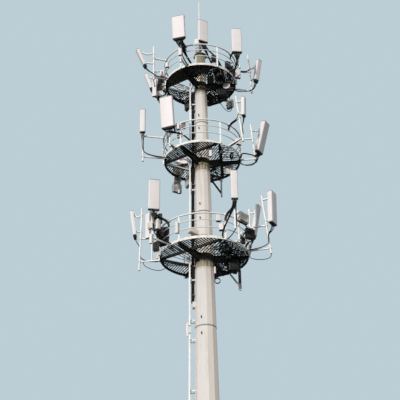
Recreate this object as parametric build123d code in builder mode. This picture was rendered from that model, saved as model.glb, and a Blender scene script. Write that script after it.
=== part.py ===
"""Monopole cell tower, about 33 m to the tip of its lightning rod.

A twelve-sided steel pole in five slip-jointed sections stands on a bolted base flange.
Three round work platforms hang on it, each with three cantilever arms, a ring frame, bar
grating, a handrail, stand-off mounts, panel antennas and radio units. A ladder and a bundle
of feeder cables run up the pole's left side, through an open corner of each deck.

+Z is up and the origin is the centre of the base flange's underside. Angles are plan angles
in degrees, counter-clockwise from +X. The near side of the tower faces -Y.
"""

import os
from math import atan, cos, degrees, radians, sin, sqrt, tan

from build123d import *

os.makedirs("parts", exist_ok=True)

# Clearance between pieces that seat on each other
seat = 0.3

# Pole: sections are measured across the corners, outside
pole_sides = 12
pole_corner_angle = -81.5
pole_base_width = 1320
pole_taper = 0.031
pole_top = 29700
section_starts = [60, 9000, 16600, 21600, 26000]
section_walls = [9, 8, 7, 6, 5]
lap_per_width = 1.5

# Base flange
flange_width = 1720
flange_thickness = section_starts[0]
anchor_circle = 1540
anchor_count = 12
anchor_hole_radius = 23
flange_lip = 40

# Jacking lugs at each slip joint
lug_height = 130
lug_reach = 75
lug_thickness = 24
lug_hole_radius = 15
lug_hole_sides = 6
lug_offset = 330
lug_corner = pole_corner_angle - 30

# Top cap, spigot and lightning rod
cap_overhang = 70
cap_thickness = 24
spigot_height = 1800
rod_radius = 24
rod_length = 1270
rod_point = 60
rod_sides = 8

# Ladder
ladder_clearance = 215
ladder_width = 420
ladder_bottom = 450
ladder_top = 29250
stile_width = 16
stile_depth = 55
rung_size = 24
rung_pitch = 280
ladder_bracket_heights = [
    1200, 3700, 6200, 8500, 10300, 12300, 14100, 16100, 16900,
    18600, 20500, 22700, 24900, 27000, 28800,
]
ladder_bracket_height = 60
ladder_bracket_thickness = 10
ladder_strap_spread = 125

# Feeder cables between ladder and pole
feeder_radius = 15
feeder_pitch = 42
feeder_count = 5
feeder_standoff = 75
feeder_bottom = 17700
feeder_top = 27700
feeder_clamp_pitch = 1250
feeder_clamp_start = 250
feeder_clamp_height = 50
feeder_clamp_depth = 12
port_height = 260
port_width = 260

# Junction box on the pole beside the ladder, above the lower deck
box_angle = 222
box_height = 900
box_width = 200
box_reach = 370

# Platforms: name, deck height and outside radius of the ring
platforms = [("lower", 19700, 1770), ("middle", 24200, 1600), ("top", 28170, 1540)]
frame_turn = -3.5
grating_depth = 30
grating_bar = 10
grating_pitch = 95
grating_band = 10
panel_gap = 3
ring_depth = 110
ring_web = 10
ring_ledge = 60
ring_ledge_thickness = 8
ring_joint_gap = 4
chord_width = 60
chord_depth = 80
arm_root_depth = 330
arm_tip_depth = 90
arm_web = 14
arm_flange_width = 120
arm_flange = 12
collar_wall = 14
collar_ear = 75
collar_ear_thickness = 14
collar_split = 12
collar_split_angle = 30
chord_seat_gap = 2

# Handrail
rail_height = 1000
rail_radius = 30
rail_sides = 6
mid_rail_radius = 16
mid_rail_sides = 4
mid_rail_heights = [340, 670]
rail_chords = 5
post_width = 70
post_depth = 60
post_count = 6

# Stand-off mounts
mount_pipe_radius = 38
mount_pipe_sides = 8
mount_arm = 50
clamp_plate = 120
clamp_block = 90
brace_turn = 11
brace_rise = 150
brace_width = 30

# Mounts of each platform: plan angle, reach beyond the ring, outward lean of the foot,
# and the foot and head of the pipe above the deck
mounts = {
    "lower": [
        (174, 830, 0.03, -450, 2400),
        (-139, 830, 0, -200, 2400),
        (-62, 760, 0, 0, 2400),
        (-15, 900, 0.1, -300, 2350),
        (-3, 90, 0, 300, 2050),
        (43, 180, 0, -900, 250),
        (-46, 180, 0, -150, 1250),
    ],
    "middle": [
        (-169, 910, 0, -280, 2200),
        (-133, 320, 0, -200, 2000),
        (-47, 800, 0.13, -250, 2150),
        (-3, 620, 0.07, -90, 1700),
        (63, 180, 0, -850, 250),
        (122, 330, 0, -600, 1300),
    ],
    "top": [
        (-162, 600, 0, -200, 1600),
        (-113.5, 540, 0, -250, 1900),
        (-33, 480, 0.15, 0, 1900),
        (12, 770, 0.05, -170, 1930),
        (172, 490, 0, -400, 1000),
        (158, 300, 0, -500, 800),
        (45, 150, 0, -450, 900),
    ],
}

# The central pipe stands on the pole's cap and carries the lightning rod
top_deck, top_ring = platforms[-1][1:]
central_foot = pole_top + cap_thickness + seat - top_deck
mounts["top"].append((0, -top_ring, 0, central_foot, central_foot + spigot_height - seat))

# Housing sizes: width, depth and height
radio_box = (330, 160, 420)
small_radio = (200, 120, 300)

# Panel antennas: mount, direction faced, down-tilt, size, foot above the deck, and reach
# from the pipe to the back at the lower bracket
antennas = {
    "lower": [
        (0, 180, 7.5, (280, 150, 1150), 1110, 190),
        (1, -78, 5, (450, 180, 1290), 1080, 120),
        (2, -86, 2, (270, 150, 1250), 1190, 120),
        (3, -28, 2, (480, 200, 1420), 960, 200),
        (4, -25, 11, (290, 150, 1350), 790, 120),
    ],
    "middle": [
        (0, -95, 1, (235, 140, 1150), 1040, 110),
        (1, -110, 9, (560, 190, 1400), 630, 120),
        (2, -20, 2, (250, 150, 920), 1030, 140),
        (3, -29, 16, (450, 200, 1420), 225, 180),
    ],
    "top": [
        (0, -170, 22, (250, 140, 900), 540, 380),
        (1, -105, 8, (560, 180, 1110), 890, 120),
        (2, -84, 2, (440, 170, 1260), 750, 130),
        (3, -50, 15, (250, 150, 1000), 330, 320),
        (4, 178, 18, (260, 140, 850), 20, 140),
        (5, -165, 6, (260, 140, 780), -180, 130),
        (-1, -62, 1, (460, 170, 1200), 2150, 220),
    ],
}

# Radio units on the mount pipes: the same values
radios = {
    "lower": [
        (6, -42, 0, (540, 230, 400), 640, 110),
        (1, 41, 0, radio_box, 350, 100),
        (1, -139, 0, small_radio, 300, 90),
    ],
    "middle": [
        (5, -58, 0, radio_box, 400, 80),
        (5, 122, 0, (400, 200, 420), -480, 110),
    ],
    "top": [
        (5, -22, 0, radio_box, 100, 70),
        (6, 45, 0, radio_box, -380, 100),
        (6, 45, 0, small_radio, 350, 90),
        (-1, -150, 0, small_radio, 1700, 90),
    ],
}

# Radio units hung on the arms under a deck: turn of the arm, distance out along it, side
arm_units = {
    "lower": [(0, 1250, 1), (0, 1150, -1), (120, 1000, -1)],
    "middle": [(0, 1100, 1), (120, 1150, 1), (120, 850, -1)],
    "top": [(0, 1000, 1), (0, 950, -1), (120, 1100, 1)],
}
arm_unit_size = (340, 150, 430)
arm_unit_drop = 140

# Brackets and housings
bracket_width = 70
bracket_height = 50
bracket_inset = 0.16
radome_corner = 45
pipe_clamp = 110
pole_margin = 15

# Antenna cables, strapped to the mount pipes, and the block that they leave from
jumper_radius = 15
jumper_sides = 6
jumper_drop = 170
jumper_slack = 400
jumper_clearance = 20
jumper_other_side = [("lower", 1), ("lower", 4), ("top", 3), ("top", 5), ("top", 6)]
connector_drop = 60
connector_share = 0.8

# Hanging cables: their radius and the points of their routes
hanging_radius = 14
hanging_cables = {
    "lower_left_cable": [
        (-2437, 256, 19619.7), (-2437, 256, 19510), (-2290, 258, 19380), (-2060, 260, 19275),
        (-1820, 262, 19225), (-1600, 263, 19280), (-1453, 264, 19430), (-1453, 264, 19589.7),
    ],
    "lower_right_cable": [
        (1690, -469, 19589.7), (1690, -469, 19465), (1765, -489, 19355), (1925, -529, 19260),
        (2130, -580, 19205), (2335, -631, 19190), (2500, -672, 19205), (2608, -699, 19280),
        (2608, -699, 19398),
    ],
    "middle_right_cable": [
        (1581, -214, 24089.7), (1581, -214, 23965), (1650, -205, 23860), (1790, -183, 23800),
        (1960, -157, 23795), (2110, -134, 23850), (2224, -117, 23970), (2224, -117, 24108.6),
    ],
    "top_cable_loop": [
        (830, 950, 28059.7), (830, 950, 27910), (900, 940, 27750), (985, 935, 27590),
        (1095, 950, 27440), (1215, 980, 27365), (1325, 1000, 27425), (1380, 1000, 27570),
        (1370, 950, 27745), (1284, 833, 27890), (1284, 833, 28059.7),
    ],
}


def wide(radius):
    """Distance from a twelve-sided outline's centre to its flat, from that to its corner."""
    return radius * cos(radians(180 / pole_sides))


def radial_plane(angle, height=0):
    """The upright plane through the pole's axis: x runs outwards and y upwards."""
    turn = radians(angle)
    return Plane(
        origin=(0, 0, height),
        x_dir=(cos(turn), sin(turn), 0),
        z_dir=(sin(turn), -cos(turn), 0),
    )


def plan_point(angle, radius, height):
    """A point at a plan angle and radius about the pole's axis."""
    turn = radians(angle)
    return Vector(radius * cos(turn), radius * sin(turn), height)


def save(part, name):
    """Label a finished piece and write its STEP file."""
    part.label = name
    export_step(part, f"parts/{name}.step")


# The pole's sections, each slipped over the top of the one below
flat_slope = degrees(atan(wide(pole_taper) / 2))
section_radii = [pole_base_width / 2]
for index in range(1, len(section_starts)):
    run = section_starts[index] - section_starts[index - 1]
    radius_below = section_radii[-1] - run * pole_taper / 2
    section_radii.append(radius_below + (section_walls[index] + seat) / wide(1))


def pole_radius(height):
    """Corner radius of the pole's outside at a height."""
    index = sum(start <= height for start in section_starts[1:])
    return section_radii[index] - (height - section_starts[index]) * pole_taper / 2


def pole_flat(height):
    """Distance from the pole's axis to its flats at a height."""
    return wide(pole_radius(height))


def tapered_prism(radius, bottom, height, mode=Mode.ADD):
    """A twelve-sided prism that narrows with the pole."""
    with BuildSketch(Plane.XY.offset(bottom)) as outline:
        RegularPolygon(radius, pole_sides, rotation=pole_corner_angle)
    extrude(outline.sketch, amount=height, taper=flat_slope, mode=mode)


for index, start in enumerate(section_starts):
    if index + 1 < len(section_starts):
        joint = section_starts[index + 1]
        end = joint + lap_per_width * 2 * pole_radius(joint)
    else:
        end = pole_top
    inner_radius = section_radii[index] - section_walls[index] / wide(1)
    with BuildPart() as section:
        tapered_prism(section_radii[index], start, end - start)
        tapered_prism(inner_radius, start, end - start, mode=Mode.SUBTRACT)
    save(section.part, f"pole_section_{index + 1}")

# Base flange with its ring of anchor holes
with BuildPart() as base_flange:
    with BuildSketch():
        RegularPolygon(flange_width / 2 / wide(1), pole_sides, rotation=pole_corner_angle)
        RegularPolygon(
            section_radii[0] - section_walls[0] - flange_lip, pole_sides,
            rotation=pole_corner_angle, mode=Mode.SUBTRACT,
        )
        with PolarLocations(anchor_circle / 2, anchor_count):
            Circle(anchor_hole_radius, mode=Mode.SUBTRACT)
    extrude(amount=flange_thickness)
save(base_flange.part, "base_flange")

# Jacking lugs: fins with a hole, above and below each joint, on two opposite corners
with BuildPart() as jacking_lugs:
    for joint in section_starts[1:]:
        for corner in (lug_corner, lug_corner + 180):
            for middle in (joint - lug_offset, joint + lug_offset):
                low = middle - lug_height / 2
                high = middle + lug_height / 2
                tip = pole_radius(low) + lug_reach
                with BuildSketch(radial_plane(corner)) as fin:
                    with BuildLine():
                        Polyline(
                            (pole_radius(low) + seat, low),
                            (tip, low + lug_height / 4),
                            (tip, high - lug_height / 4),
                            (pole_radius(high) + seat, high),
                            close=True,
                        )
                    make_face()
                    with Locations((tip - lug_reach * 0.4, middle)):
                        RegularPolygon(lug_hole_radius, lug_hole_sides, mode=Mode.SUBTRACT)
                extrude(fin.sketch, amount=lug_thickness / 2, both=True)
save(jacking_lugs.part, "jacking_lugs")

# Cap plate on the pole's open end
with BuildPart() as pole_cap:
    with BuildSketch(Plane.XY.offset(pole_top)):
        Circle(pole_radius(pole_top) + cap_overhang)
    extrude(amount=cap_thickness)
save(pole_cap.part, "pole_cap")

# Lightning rod on the spigot, drawn to a point
rod_foot = pole_top + cap_thickness + spigot_height + seat
rod_collar = 2 * rod_radius
rod_top = rod_foot + rod_collar + rod_length
with BuildPart() as lightning_rod:
    with BuildSketch(Plane.XY.offset(rod_foot)):
        RegularPolygon(mount_pipe_radius, rod_sides)
    extrude(amount=rod_collar)
    with BuildSketch(Plane.XY.offset(rod_foot + rod_collar)):
        RegularPolygon(rod_radius, rod_sides)
    extrude(amount=rod_length)
    with BuildSketch(Plane.XY.offset(rod_top)):
        RegularPolygon(rod_radius, rod_sides)
    with BuildSketch(Plane.XY.offset(rod_top + rod_point)):
        RegularPolygon(rod_radius / 4, rod_sides)
    loft()
save(lightning_rod.part, "lightning_rod")


def ladder_line(height):
    """Distance from the pole's axis to the ladder's middle plane: it leans with the pole."""
    share = height / pole_top
    at_foot = pole_flat(flange_thickness) + ladder_clearance
    at_head = pole_flat(pole_top) + ladder_clearance
    return at_foot + (at_head - at_foot) * share


# Ladder: two flat stiles and square rungs, in a plane that leans with the pole
ladder_length = ladder_top - ladder_bottom
ladder_lean = atan((ladder_line(ladder_bottom) - ladder_line(ladder_top)) / ladder_length)
ladder_plane = Plane(
    origin=(-ladder_line(ladder_bottom), 0, ladder_bottom),
    x_dir=(0, 1, 0),
    z_dir=(sin(ladder_lean), 0, cos(ladder_lean)),
)
rung_count = int(ladder_length / rung_pitch)
with BuildPart() as climbing_ladder:
    with BuildSketch(ladder_plane):
        with GridLocations(ladder_width, 0, 2, 1):
            Rectangle(stile_width, stile_depth)
    extrude(amount=ladder_length)
    with Locations(ladder_plane):
        with Locations([(0, 0, rung_pitch * (step + 0.5)) for step in range(rung_count)]):
            Box(ladder_width, rung_size, rung_size)
save(climbing_ladder.part, "climbing_ladder")

# Ladder brackets: two straps from the pole to a cross bar behind the stiles
with BuildPart() as ladder_brackets:
    for height in ladder_bracket_heights:
        stile_back = ladder_line(height + ladder_bracket_height / 2) - stile_depth / 2
        bar_back = stile_back - seat - ladder_bracket_thickness
        with BuildSketch(Plane.XY.offset(height - ladder_bracket_height / 2)) as bracket:
            with Locations((-bar_back - ladder_bracket_thickness / 2, 0)):
                Rectangle(ladder_bracket_thickness, ladder_width + stile_width)
            with Locations((-bar_back / 2, -ladder_strap_spread), (-bar_back / 2, ladder_strap_spread)):
                Rectangle(bar_back, ladder_bracket_thickness)
        extrude(bracket.sketch, amount=ladder_bracket_height)
    for height in ladder_bracket_heights:
        bottom = height - ladder_bracket_height
        tapered_prism(
            pole_radius(bottom) + seat, bottom, 2 * ladder_bracket_height, mode=Mode.SUBTRACT
        )
save(ladder_brackets.part, "ladder_brackets")


def feeder_line(height):
    """Distance from the pole's axis to the row of feeder cables."""
    return ladder_line(height) - ladder_clearance + feeder_standoff


# Port on the pole's left side, where the feeder cables enter it
with BuildPart() as cable_port:
    with BuildSketch(Plane.YZ.offset(-feeder_line(feeder_bottom) - feeder_radius * 2)):
        with Locations((0, feeder_bottom - port_height / 2)):
            RectangleRounded(port_width, port_height, port_width * 0.2)
    extrude(amount=feeder_line(feeder_bottom))
    tapered_prism(
        pole_radius(feeder_bottom - 2 * port_height) + seat,
        feeder_bottom - 2 * port_height,
        3 * port_height,
        mode=Mode.SUBTRACT,
    )
save(cable_port.part, "cable_port")

# Feeder cables: straight runs side by side, from the port to the top platform
feeder_length = feeder_top - feeder_bottom
feeder_lean = atan((feeder_line(feeder_bottom) - feeder_line(feeder_top)) / feeder_length)
feeder_plane = Plane(
    origin=(-feeder_line(feeder_bottom), 0, feeder_bottom + seat),
    x_dir=(0, 1, 0),
    z_dir=(sin(feeder_lean), 0, cos(feeder_lean)),
)
with BuildPart() as feeder_cables:
    with BuildSketch(feeder_plane):
        with GridLocations(feeder_pitch, 0, feeder_count, 1):
            RegularPolygon(feeder_radius, 8)
    extrude(amount=feeder_length)
save(feeder_cables.part, "feeder_cables")

# Cable hangers: a bar on the pole behind the cables and a strap in front of them
clamp_heights = [
    feeder_bottom + feeder_clamp_start + feeder_clamp_pitch * step
    for step in range(int(feeder_length / feeder_clamp_pitch))
]
clamp_width = feeder_pitch * feeder_count
with BuildPart() as cable_hangers:
    for height in clamp_heights:
        top_line = feeder_line(height + feeder_clamp_height)
        back = top_line - feeder_radius - seat
        front = feeder_line(height) + feeder_radius + seat
        with BuildSketch(Plane.XY.offset(height)) as block:
            with Locations((-back / 2, 0)):
                Rectangle(back, clamp_width)
            with Locations((-front - feeder_clamp_depth / 2, 0)):
                Rectangle(feeder_clamp_depth, clamp_width)
        extrude(block.sketch, amount=feeder_clamp_height)
    for height in clamp_heights:
        bottom = height - feeder_clamp_height
        tapered_prism(
            pole_radius(bottom) + seat, bottom, 3 * feeder_clamp_height, mode=Mode.SUBTRACT
        )
save(cable_hangers.part, "cable_hangers")

# Junction box on the pole
box_bottom = platforms[0][1] + box_height - box_width / 2
with BuildPart() as junction_box:
    with BuildSketch(radial_plane(box_angle, box_bottom)):
        with Locations((pole_flat(box_bottom) + box_reach / 2, box_width / 2)):
            Rectangle(box_reach + pole_flat(box_bottom) / 4, box_width)
    extrude(amount=box_width / 2, both=True)
    tapered_prism(
        pole_radius(box_bottom - box_width) + seat, box_bottom - box_width, 3 * box_width,
        mode=Mode.SUBTRACT,
    )
save(junction_box.part, "junction_box")


def pole_cut(low, high):
    """Take the pole, with its seat, out of the part being built."""
    tapered_prism(pole_radius(low) + seat, low, high - low, mode=Mode.SUBTRACT)


def build_arms(name, deck, radius):
    """Three cantilever arms, each welded to its third of the collar clamped on the pole."""
    top = deck - grating_depth
    root = pole_flat(deck)
    low = top - arm_root_depth
    step_in = radius / 2 - chord_width / 2 - chord_seat_gap
    under_chord = top - chord_depth - seat
    tip_low = under_chord - arm_tip_depth
    end = sqrt(radius**2 - (arm_flange_width / 2) ** 2)
    plates = [
        [(root, top), (step_in, top), (step_in, under_chord), (end, under_chord),
         (end, tip_low), (root, low)],
        [(root, top), (step_in, top), (step_in, top - arm_flange), (root, top - arm_flange)],
        [(step_in, under_chord), (end, under_chord), (end, under_chord - arm_flange),
         (step_in, under_chord - arm_flange)],
        [(root, low), (end, tip_low), (end, tip_low + arm_flange), (root, low + arm_flange)],
    ]
    widths = [arm_web, arm_flange_width, arm_flange_width, arm_flange_width]
    split_angle = frame_turn + collar_split_angle
    with BuildPart() as arm:
        with BuildSketch(Plane.XY.offset(low)) as collar:
            RegularPolygon(
                pole_radius(low) + seat + collar_wall, pole_sides, rotation=pole_corner_angle
            )
            for angle in (split_angle, split_angle - 120):
                ear = plan_point(angle, pole_flat(low), 0)
                with Locations(Location((ear.X, ear.Y, 0), (0, 0, angle))):
                    Rectangle(2 * collar_ear, 2 * collar_ear_thickness + collar_split)
            with BuildSketch(Plane.XY, mode=Mode.PRIVATE) as sector:
                with BuildLine():
                    Polyline(*third(radius, split_angle - 60, collar_split), close=True)
                make_face()
            add(sector.sketch, mode=Mode.INTERSECT)
        extrude(collar.sketch, amount=arm_root_depth)
        for points, width in zip(plates, widths):
            with BuildSketch(radial_plane(frame_turn)) as plate:
                with BuildLine():
                    Polyline(*points, close=True)
                make_face()
            extrude(plate.sketch, amount=width / 2, both=True)
        pole_cut(low - 1, top + 1)
    with BuildPart() as arms:
        with PolarLocations(0, 3):
            add(arm.part)
    save(arms.part, f"{name}_arms")


def third(radius, turn, gap):
    """Corners of a 120 degree sector about the direction turn, half a gap inside its sides."""
    inset = gap / 2 / sin(radians(60))
    tip = plan_point(turn, inset, 0)
    reach = 2 * radius
    corners = [tip, tip + plan_point(turn - 60, reach, 0), plan_point(turn, 2 * reach, 0),
               tip + plan_point(turn + 60, reach, 0)]
    return [(corner.X, corner.Y) for corner in corners]


def build_ring_frame(name, deck, radius):
    """Three ring segments, each one an arc and its chord beam, meeting at the corners."""
    top = deck - grating_depth
    with BuildSketch(Plane.XY) as sector:
        with BuildLine():
            Polyline(*third(radius, frame_turn, ring_joint_gap), close=True)
        make_face()
    with BuildPart() as segment:
        with BuildSketch(Plane.XY.offset(deck - ring_depth)) as web:
            Circle(radius)
            Circle(radius - ring_web, mode=Mode.SUBTRACT)
            add(sector.sketch, mode=Mode.INTERSECT)
        extrude(web.sketch, amount=ring_depth)
        with BuildSketch(Plane.XY.offset(top - ring_ledge_thickness)) as ledge:
            Circle(radius)
            Circle(radius - ring_ledge, mode=Mode.SUBTRACT)
            add(sector.sketch, mode=Mode.INTERSECT)
        extrude(ledge.sketch, amount=ring_ledge_thickness)
        with BuildSketch(Plane.XY.offset(top - chord_depth)) as chord:
            middle = plan_point(frame_turn, radius / 2, 0)
            with Locations(Location((middle.X, middle.Y, 0), (0, 0, frame_turn))):
                Rectangle(chord_width, 2 * radius)
            Circle(radius, mode=Mode.INTERSECT)
            add(sector.sketch, mode=Mode.INTERSECT)
        extrude(chord.sketch, amount=chord_depth)
    with BuildPart() as ring_frame:
        with PolarLocations(0, 3):
            add(segment.part)
    save(ring_frame.part, f"{name}_ring_frame")


def bars(turn, first, last, reach):
    """Gaps between bearing bars that run across the direction turn, from first to last."""
    count = max(1, round((last - first) / grating_pitch))
    pitch = (last - first) / count
    places = [(first + pitch * (step + 0.5), 0) for step in range(count)]
    with BuildSketch() as gaps:
        with Locations(Location((0, 0, 0), (0, 0, turn))):
            with Locations(*places):
                Rectangle(pitch - grating_bar, reach)
    return gaps.sketch


def build_decks(name, deck, radius):
    """Bar grating: a panel on each ring segment and two round the pole; one corner is open."""
    bottom = deck - grating_depth
    rim = radius - ring_web - panel_gap
    chord_line = radius / 2 + panel_gap / 2
    with BuildPart() as outer_deck:
        with BuildSketch(Plane.XY.offset(bottom)) as panel:
            Circle(rim)
            beyond = plan_point(frame_turn, chord_line + radius, 0)
            with Locations(Location((beyond.X, beyond.Y, 0), (0, 0, frame_turn))):
                Rectangle(2 * radius, 4 * radius, mode=Mode.INTERSECT)
            with BuildSketch(Plane.XY, mode=Mode.PRIVATE) as holes:
                add(bars(frame_turn, chord_line, rim, 4 * radius))
                Circle(rim - grating_band, mode=Mode.INTERSECT)
            add(holes.sketch, mode=Mode.SUBTRACT)
        extrude(panel.sketch, amount=grating_depth)
    with BuildPart() as outer_grating:
        with PolarLocations(0, 3):
            add(outer_deck.part)
    save(outer_grating.part, f"{name}_outer_grating")

    turn = frame_turn - 60
    corners = [plan_point(turn + 120 * k, radius - panel_gap, 0) for k in range(3)]
    with BuildSketch(Plane.XY) as kite:
        with BuildLine():
            Polyline(*[(corner.X, corner.Y) for corner in corners], close=True)
        make_face()
        with BuildSketch(Plane.XY, mode=Mode.PRIVATE) as sector:
            with BuildLine():
                Polyline(*third(radius, turn, panel_gap), close=True)
            make_face()
        add(sector.sketch, mode=Mode.INTERSECT)
        Circle(rim, mode=Mode.INTERSECT)
        RegularPolygon(
            pole_radius(bottom) + pole_margin, pole_sides,
            rotation=pole_corner_angle, mode=Mode.SUBTRACT,
        )
    with BuildSketch(Plane.XY) as field:
        add(kite.sketch)
        offset(amount=-grating_band)
    with BuildPart() as inner_deck:
        with BuildSketch(Plane.XY.offset(bottom)) as panel:
            add(kite.sketch)
            with BuildSketch(Plane.XY, mode=Mode.PRIVATE) as holes:
                add(bars(turn, pole_flat(deck) / 2, radius, 4 * radius))
                add(field.sketch, mode=Mode.INTERSECT)
            add(holes.sketch, mode=Mode.SUBTRACT)
        extrude(panel.sketch, amount=grating_depth)
    with BuildPart() as inner_grating:
        with PolarLocations(0, 2, angular_range=120, endpoint=True):
            add(inner_deck.part)
    save(inner_grating.part, f"{name}_inner_grating")


def rail_bay(start_angle, radius, height, tube, sides, mode=Mode.ADD):
    """One bay of a rail, from post to post: a tube of few sides bent through short chords."""
    step = 360 / post_count / rail_chords
    points = [plan_point(start_angle + step * k, radius, height) for k in range(rail_chords + 1)]
    with BuildLine() as path:
        Polyline(*points)
    with BuildSketch(Plane(origin=path.line @ 0, z_dir=path.line % 0)) as section:
        RegularPolygon(tube, sides)
    sweep(section.sketch, path=path.line, transition=Transition.RIGHT, mode=mode)


def post_box(angle, radius, low, high, margin=0, mode=Mode.ADD):
    """A handrail post on the outside of the ring."""
    spot = plan_point(angle, radius + seat + post_depth / 2, (low + high) / 2)
    with Locations(Location(spot, (0, 0, angle))):
        Box(
            post_depth + 2 * margin, post_width + 2 * margin, high - low + 2 * margin, mode=mode
        )


def build_handrail(name, deck, radius):
    """Six posts outside the ring, each with its bay of top rail and two mid rails."""
    line = radius + seat + post_depth / 2
    foot = deck - ring_depth
    head = deck + rail_height - rail_radius
    with BuildPart() as bay:
        for height in mid_rail_heights:
            rail_bay(frame_turn, line, deck + height, mid_rail_radius, mid_rail_sides)
        rail_bay(frame_turn, line, head, rail_radius, rail_sides)
        post_box(
            frame_turn + 360 / post_count, radius, foot, head + 2 * rail_radius, seat, Mode.SUBTRACT
        )
        post_box(frame_turn, radius, foot, head)
    with BuildPart() as handrail:
        with PolarLocations(0, post_count):
            add(bay.part)
    save(handrail.part, f"{name}_handrail")


def pipe_axis(deck, radius, mount):
    """Point on a mount pipe's axis at the deck, and the pipe's direction."""
    angle, reach, lean = mount[:3]
    foot = plan_point(angle, radius + reach, deck)
    inward = plan_point(angle, -lean, 1)
    return foot, inward.normalized()


def pipe_point(deck, radius, mount, height):
    """Point on a mount pipe's axis at a height above the deck."""
    foot, direction = pipe_axis(deck, radius, mount)
    return foot + direction * (height / direction.Z)


def held_plane(deck, radius, mount, item):
    """Plane at the foot of an antenna or radio unit: y points to its front, z up its back."""
    facing, tilt, size, bottom = item[1:5]
    front = plan_point(facing, 1, 0)
    up = front * sin(radians(tilt)) + Vector(0, 0, cos(radians(tilt)))
    lower_bracket = pipe_point(deck, radius, mount, bottom + size[2] * bracket_inset)
    back = lower_bracket + front * item[5]
    return Plane(
        origin=back - up * (size[2] * bracket_inset),
        x_dir=(sin(radians(facing)), -cos(radians(facing)), 0),
        z_dir=(up.X, up.Y, up.Z),
    )


def held_body(plane, size, margin=0, mode=Mode.ADD):
    """A housing on its plane: rounded in front, square behind."""
    width, depth, length = size
    with BuildSketch(plane.offset(-margin)) as outline:
        with Locations((0, depth / 2)):
            Rectangle(width + 2 * margin, depth + 2 * margin)
        if not margin:
            fillet(outline.vertices().group_by(Axis.Y)[-1], radius=min(radome_corner, depth * 0.4))
    extrude(outline.sketch, amount=length + 2 * margin, mode=mode)


def build_mount(name, deck, radius, index):
    """One stand-off mount: a pipe on its arms, with the brackets of what it carries."""
    mount = mounts[name][index]
    angle, low, high = mount[0], mount[3], mount[4]
    last = len(mounts[name]) - 1
    items = [
        item for item in antennas[name] + radios[name]
        if item[0] == index or (item[0] < 0 and index == last)
    ]
    line = radius + seat + post_depth / 2
    bay = (angle - frame_turn) // (360 / post_count)
    posts = [frame_turn + step * 360 / post_count for step in (bay - 1, bay, bay + 1)]
    direction = pipe_axis(deck, radius, mount)[1]
    with BuildPart() as frame:
        foot = Plane(origin=pipe_point(deck, radius, mount, low), z_dir=direction)
        with BuildSketch(foot) as pipe:
            RegularPolygon(mount_pipe_radius, mount_pipe_sides)
        extrude(pipe.sketch, amount=(high - low) / direction.Z)
        for arm_height in (-ring_depth / 2, rail_height - rail_radius):
            if low < arm_height < high:
                hub = pipe_point(deck, radius, mount, arm_height)
                run = Vector(hub.X, hub.Y).length - radius
                spot = plan_point(angle, radius + run / 2, deck + arm_height)
                with Locations(Location(spot, (0, 0, angle))):
                    Box(run, mount_arm, mount_arm)
                with Locations(Location(hub, (0, 0, angle))):
                    Box(pipe_clamp, pipe_clamp, mount_arm)
                inner = plan_point(angle, line, deck + arm_height)
                with Locations(Location(inner, (0, 0, angle))):
                    Box(clamp_block, clamp_plate, clamp_plate)
        if low < -4 * ring_depth and high < 4 * ring_depth:
            foot = pipe_point(deck, radius, mount, low + brace_rise)
            turned = plan_point(angle + brace_turn, radius - ring_web / 2, 0)
            head = Vector(turned.X, turned.Y, deck - ring_depth - seat - brace_width / 2)
            along = head - foot
            with BuildSketch(Plane(origin=foot, z_dir=along)) as brace:
                Rectangle(brace_width, brace_width)
            extrude(brace.sketch, amount=along.length)
        for item in items:
            plane = held_plane(deck, radius, mount, item)
            for share in (bracket_inset, 1 - bracket_inset):
                far = plane.origin + plane.z_dir * (item[3][2] * share)
                near = pipe_point(deck, radius, mount, far.Z - deck)
                with Locations(Location((near + far) / 2, (0, 0, item[1]))):
                    Box((far - near).length + bracket_height, bracket_width, bracket_height)
        for item in items:
            held_body(held_plane(deck, radius, mount, item), item[3], seat, Mode.SUBTRACT)
        with BuildSketch(Plane.XY.offset(deck - 3 * ring_depth)) as ring_space:
            Circle(radius + seat)
        extrude(ring_space.sketch, amount=3 * ring_depth, mode=Mode.SUBTRACT)
        for post in posts:
            rail_bay(
                post, line, deck + rail_height - rail_radius, rail_radius + seat, rail_sides,
                Mode.SUBTRACT,
            )
            post_box(post, radius, deck - ring_depth, deck + rail_height, seat, Mode.SUBTRACT)
    return frame.part


def build_mounts(name, deck, radius):
    """All the stand-off mounts of a platform, as one node of separate frames."""
    with BuildPart() as frames:
        for index in range(len(mounts[name])):
            add(build_mount(name, deck, radius, index))
    save(frames.part, f"{name}_mount_frames")


def build_antennas(name, deck, radius):
    """Panel antennas on their brackets, each with the block of connectors under it."""
    with BuildPart() as housings:
        for item in antennas[name]:
            plane = held_plane(deck, radius, mounts[name][item[0]], item)
            held_body(plane, item[3])
            width, depth = item[3][:2]
            with BuildSketch(plane) as block:
                with Locations((0, depth / 2)):
                    Rectangle(width * connector_share, depth * connector_share)
            extrude(block.sketch, amount=-connector_drop)
    save(housings.part, f"{name}_antennas")


def build_radio_units(name, deck, radius):
    """Radio units on the mount pipes and on the sides of the arms under the deck."""
    under_chord = deck - grating_depth - chord_depth - seat
    width, depth, height = arm_unit_size
    with BuildPart() as housings:
        for item in radios[name]:
            held_body(held_plane(deck, radius, mounts[name][item[0]], item), item[3])
        for turn, distance, side in arm_units[name]:
            across = side * (arm_flange_width / 2 + seat + depth / 2)
            spot = plan_point(frame_turn + turn, distance, under_chord - arm_unit_drop)
            spot += plan_point(frame_turn + turn + 90, across, 0)
            with Locations(Location(spot, (0, 0, frame_turn + turn))):
                Box(width, depth, height, align=(Align.CENTER, Align.CENTER, Align.MAX))
    save(housings.part, f"{name}_radio_units")


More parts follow.
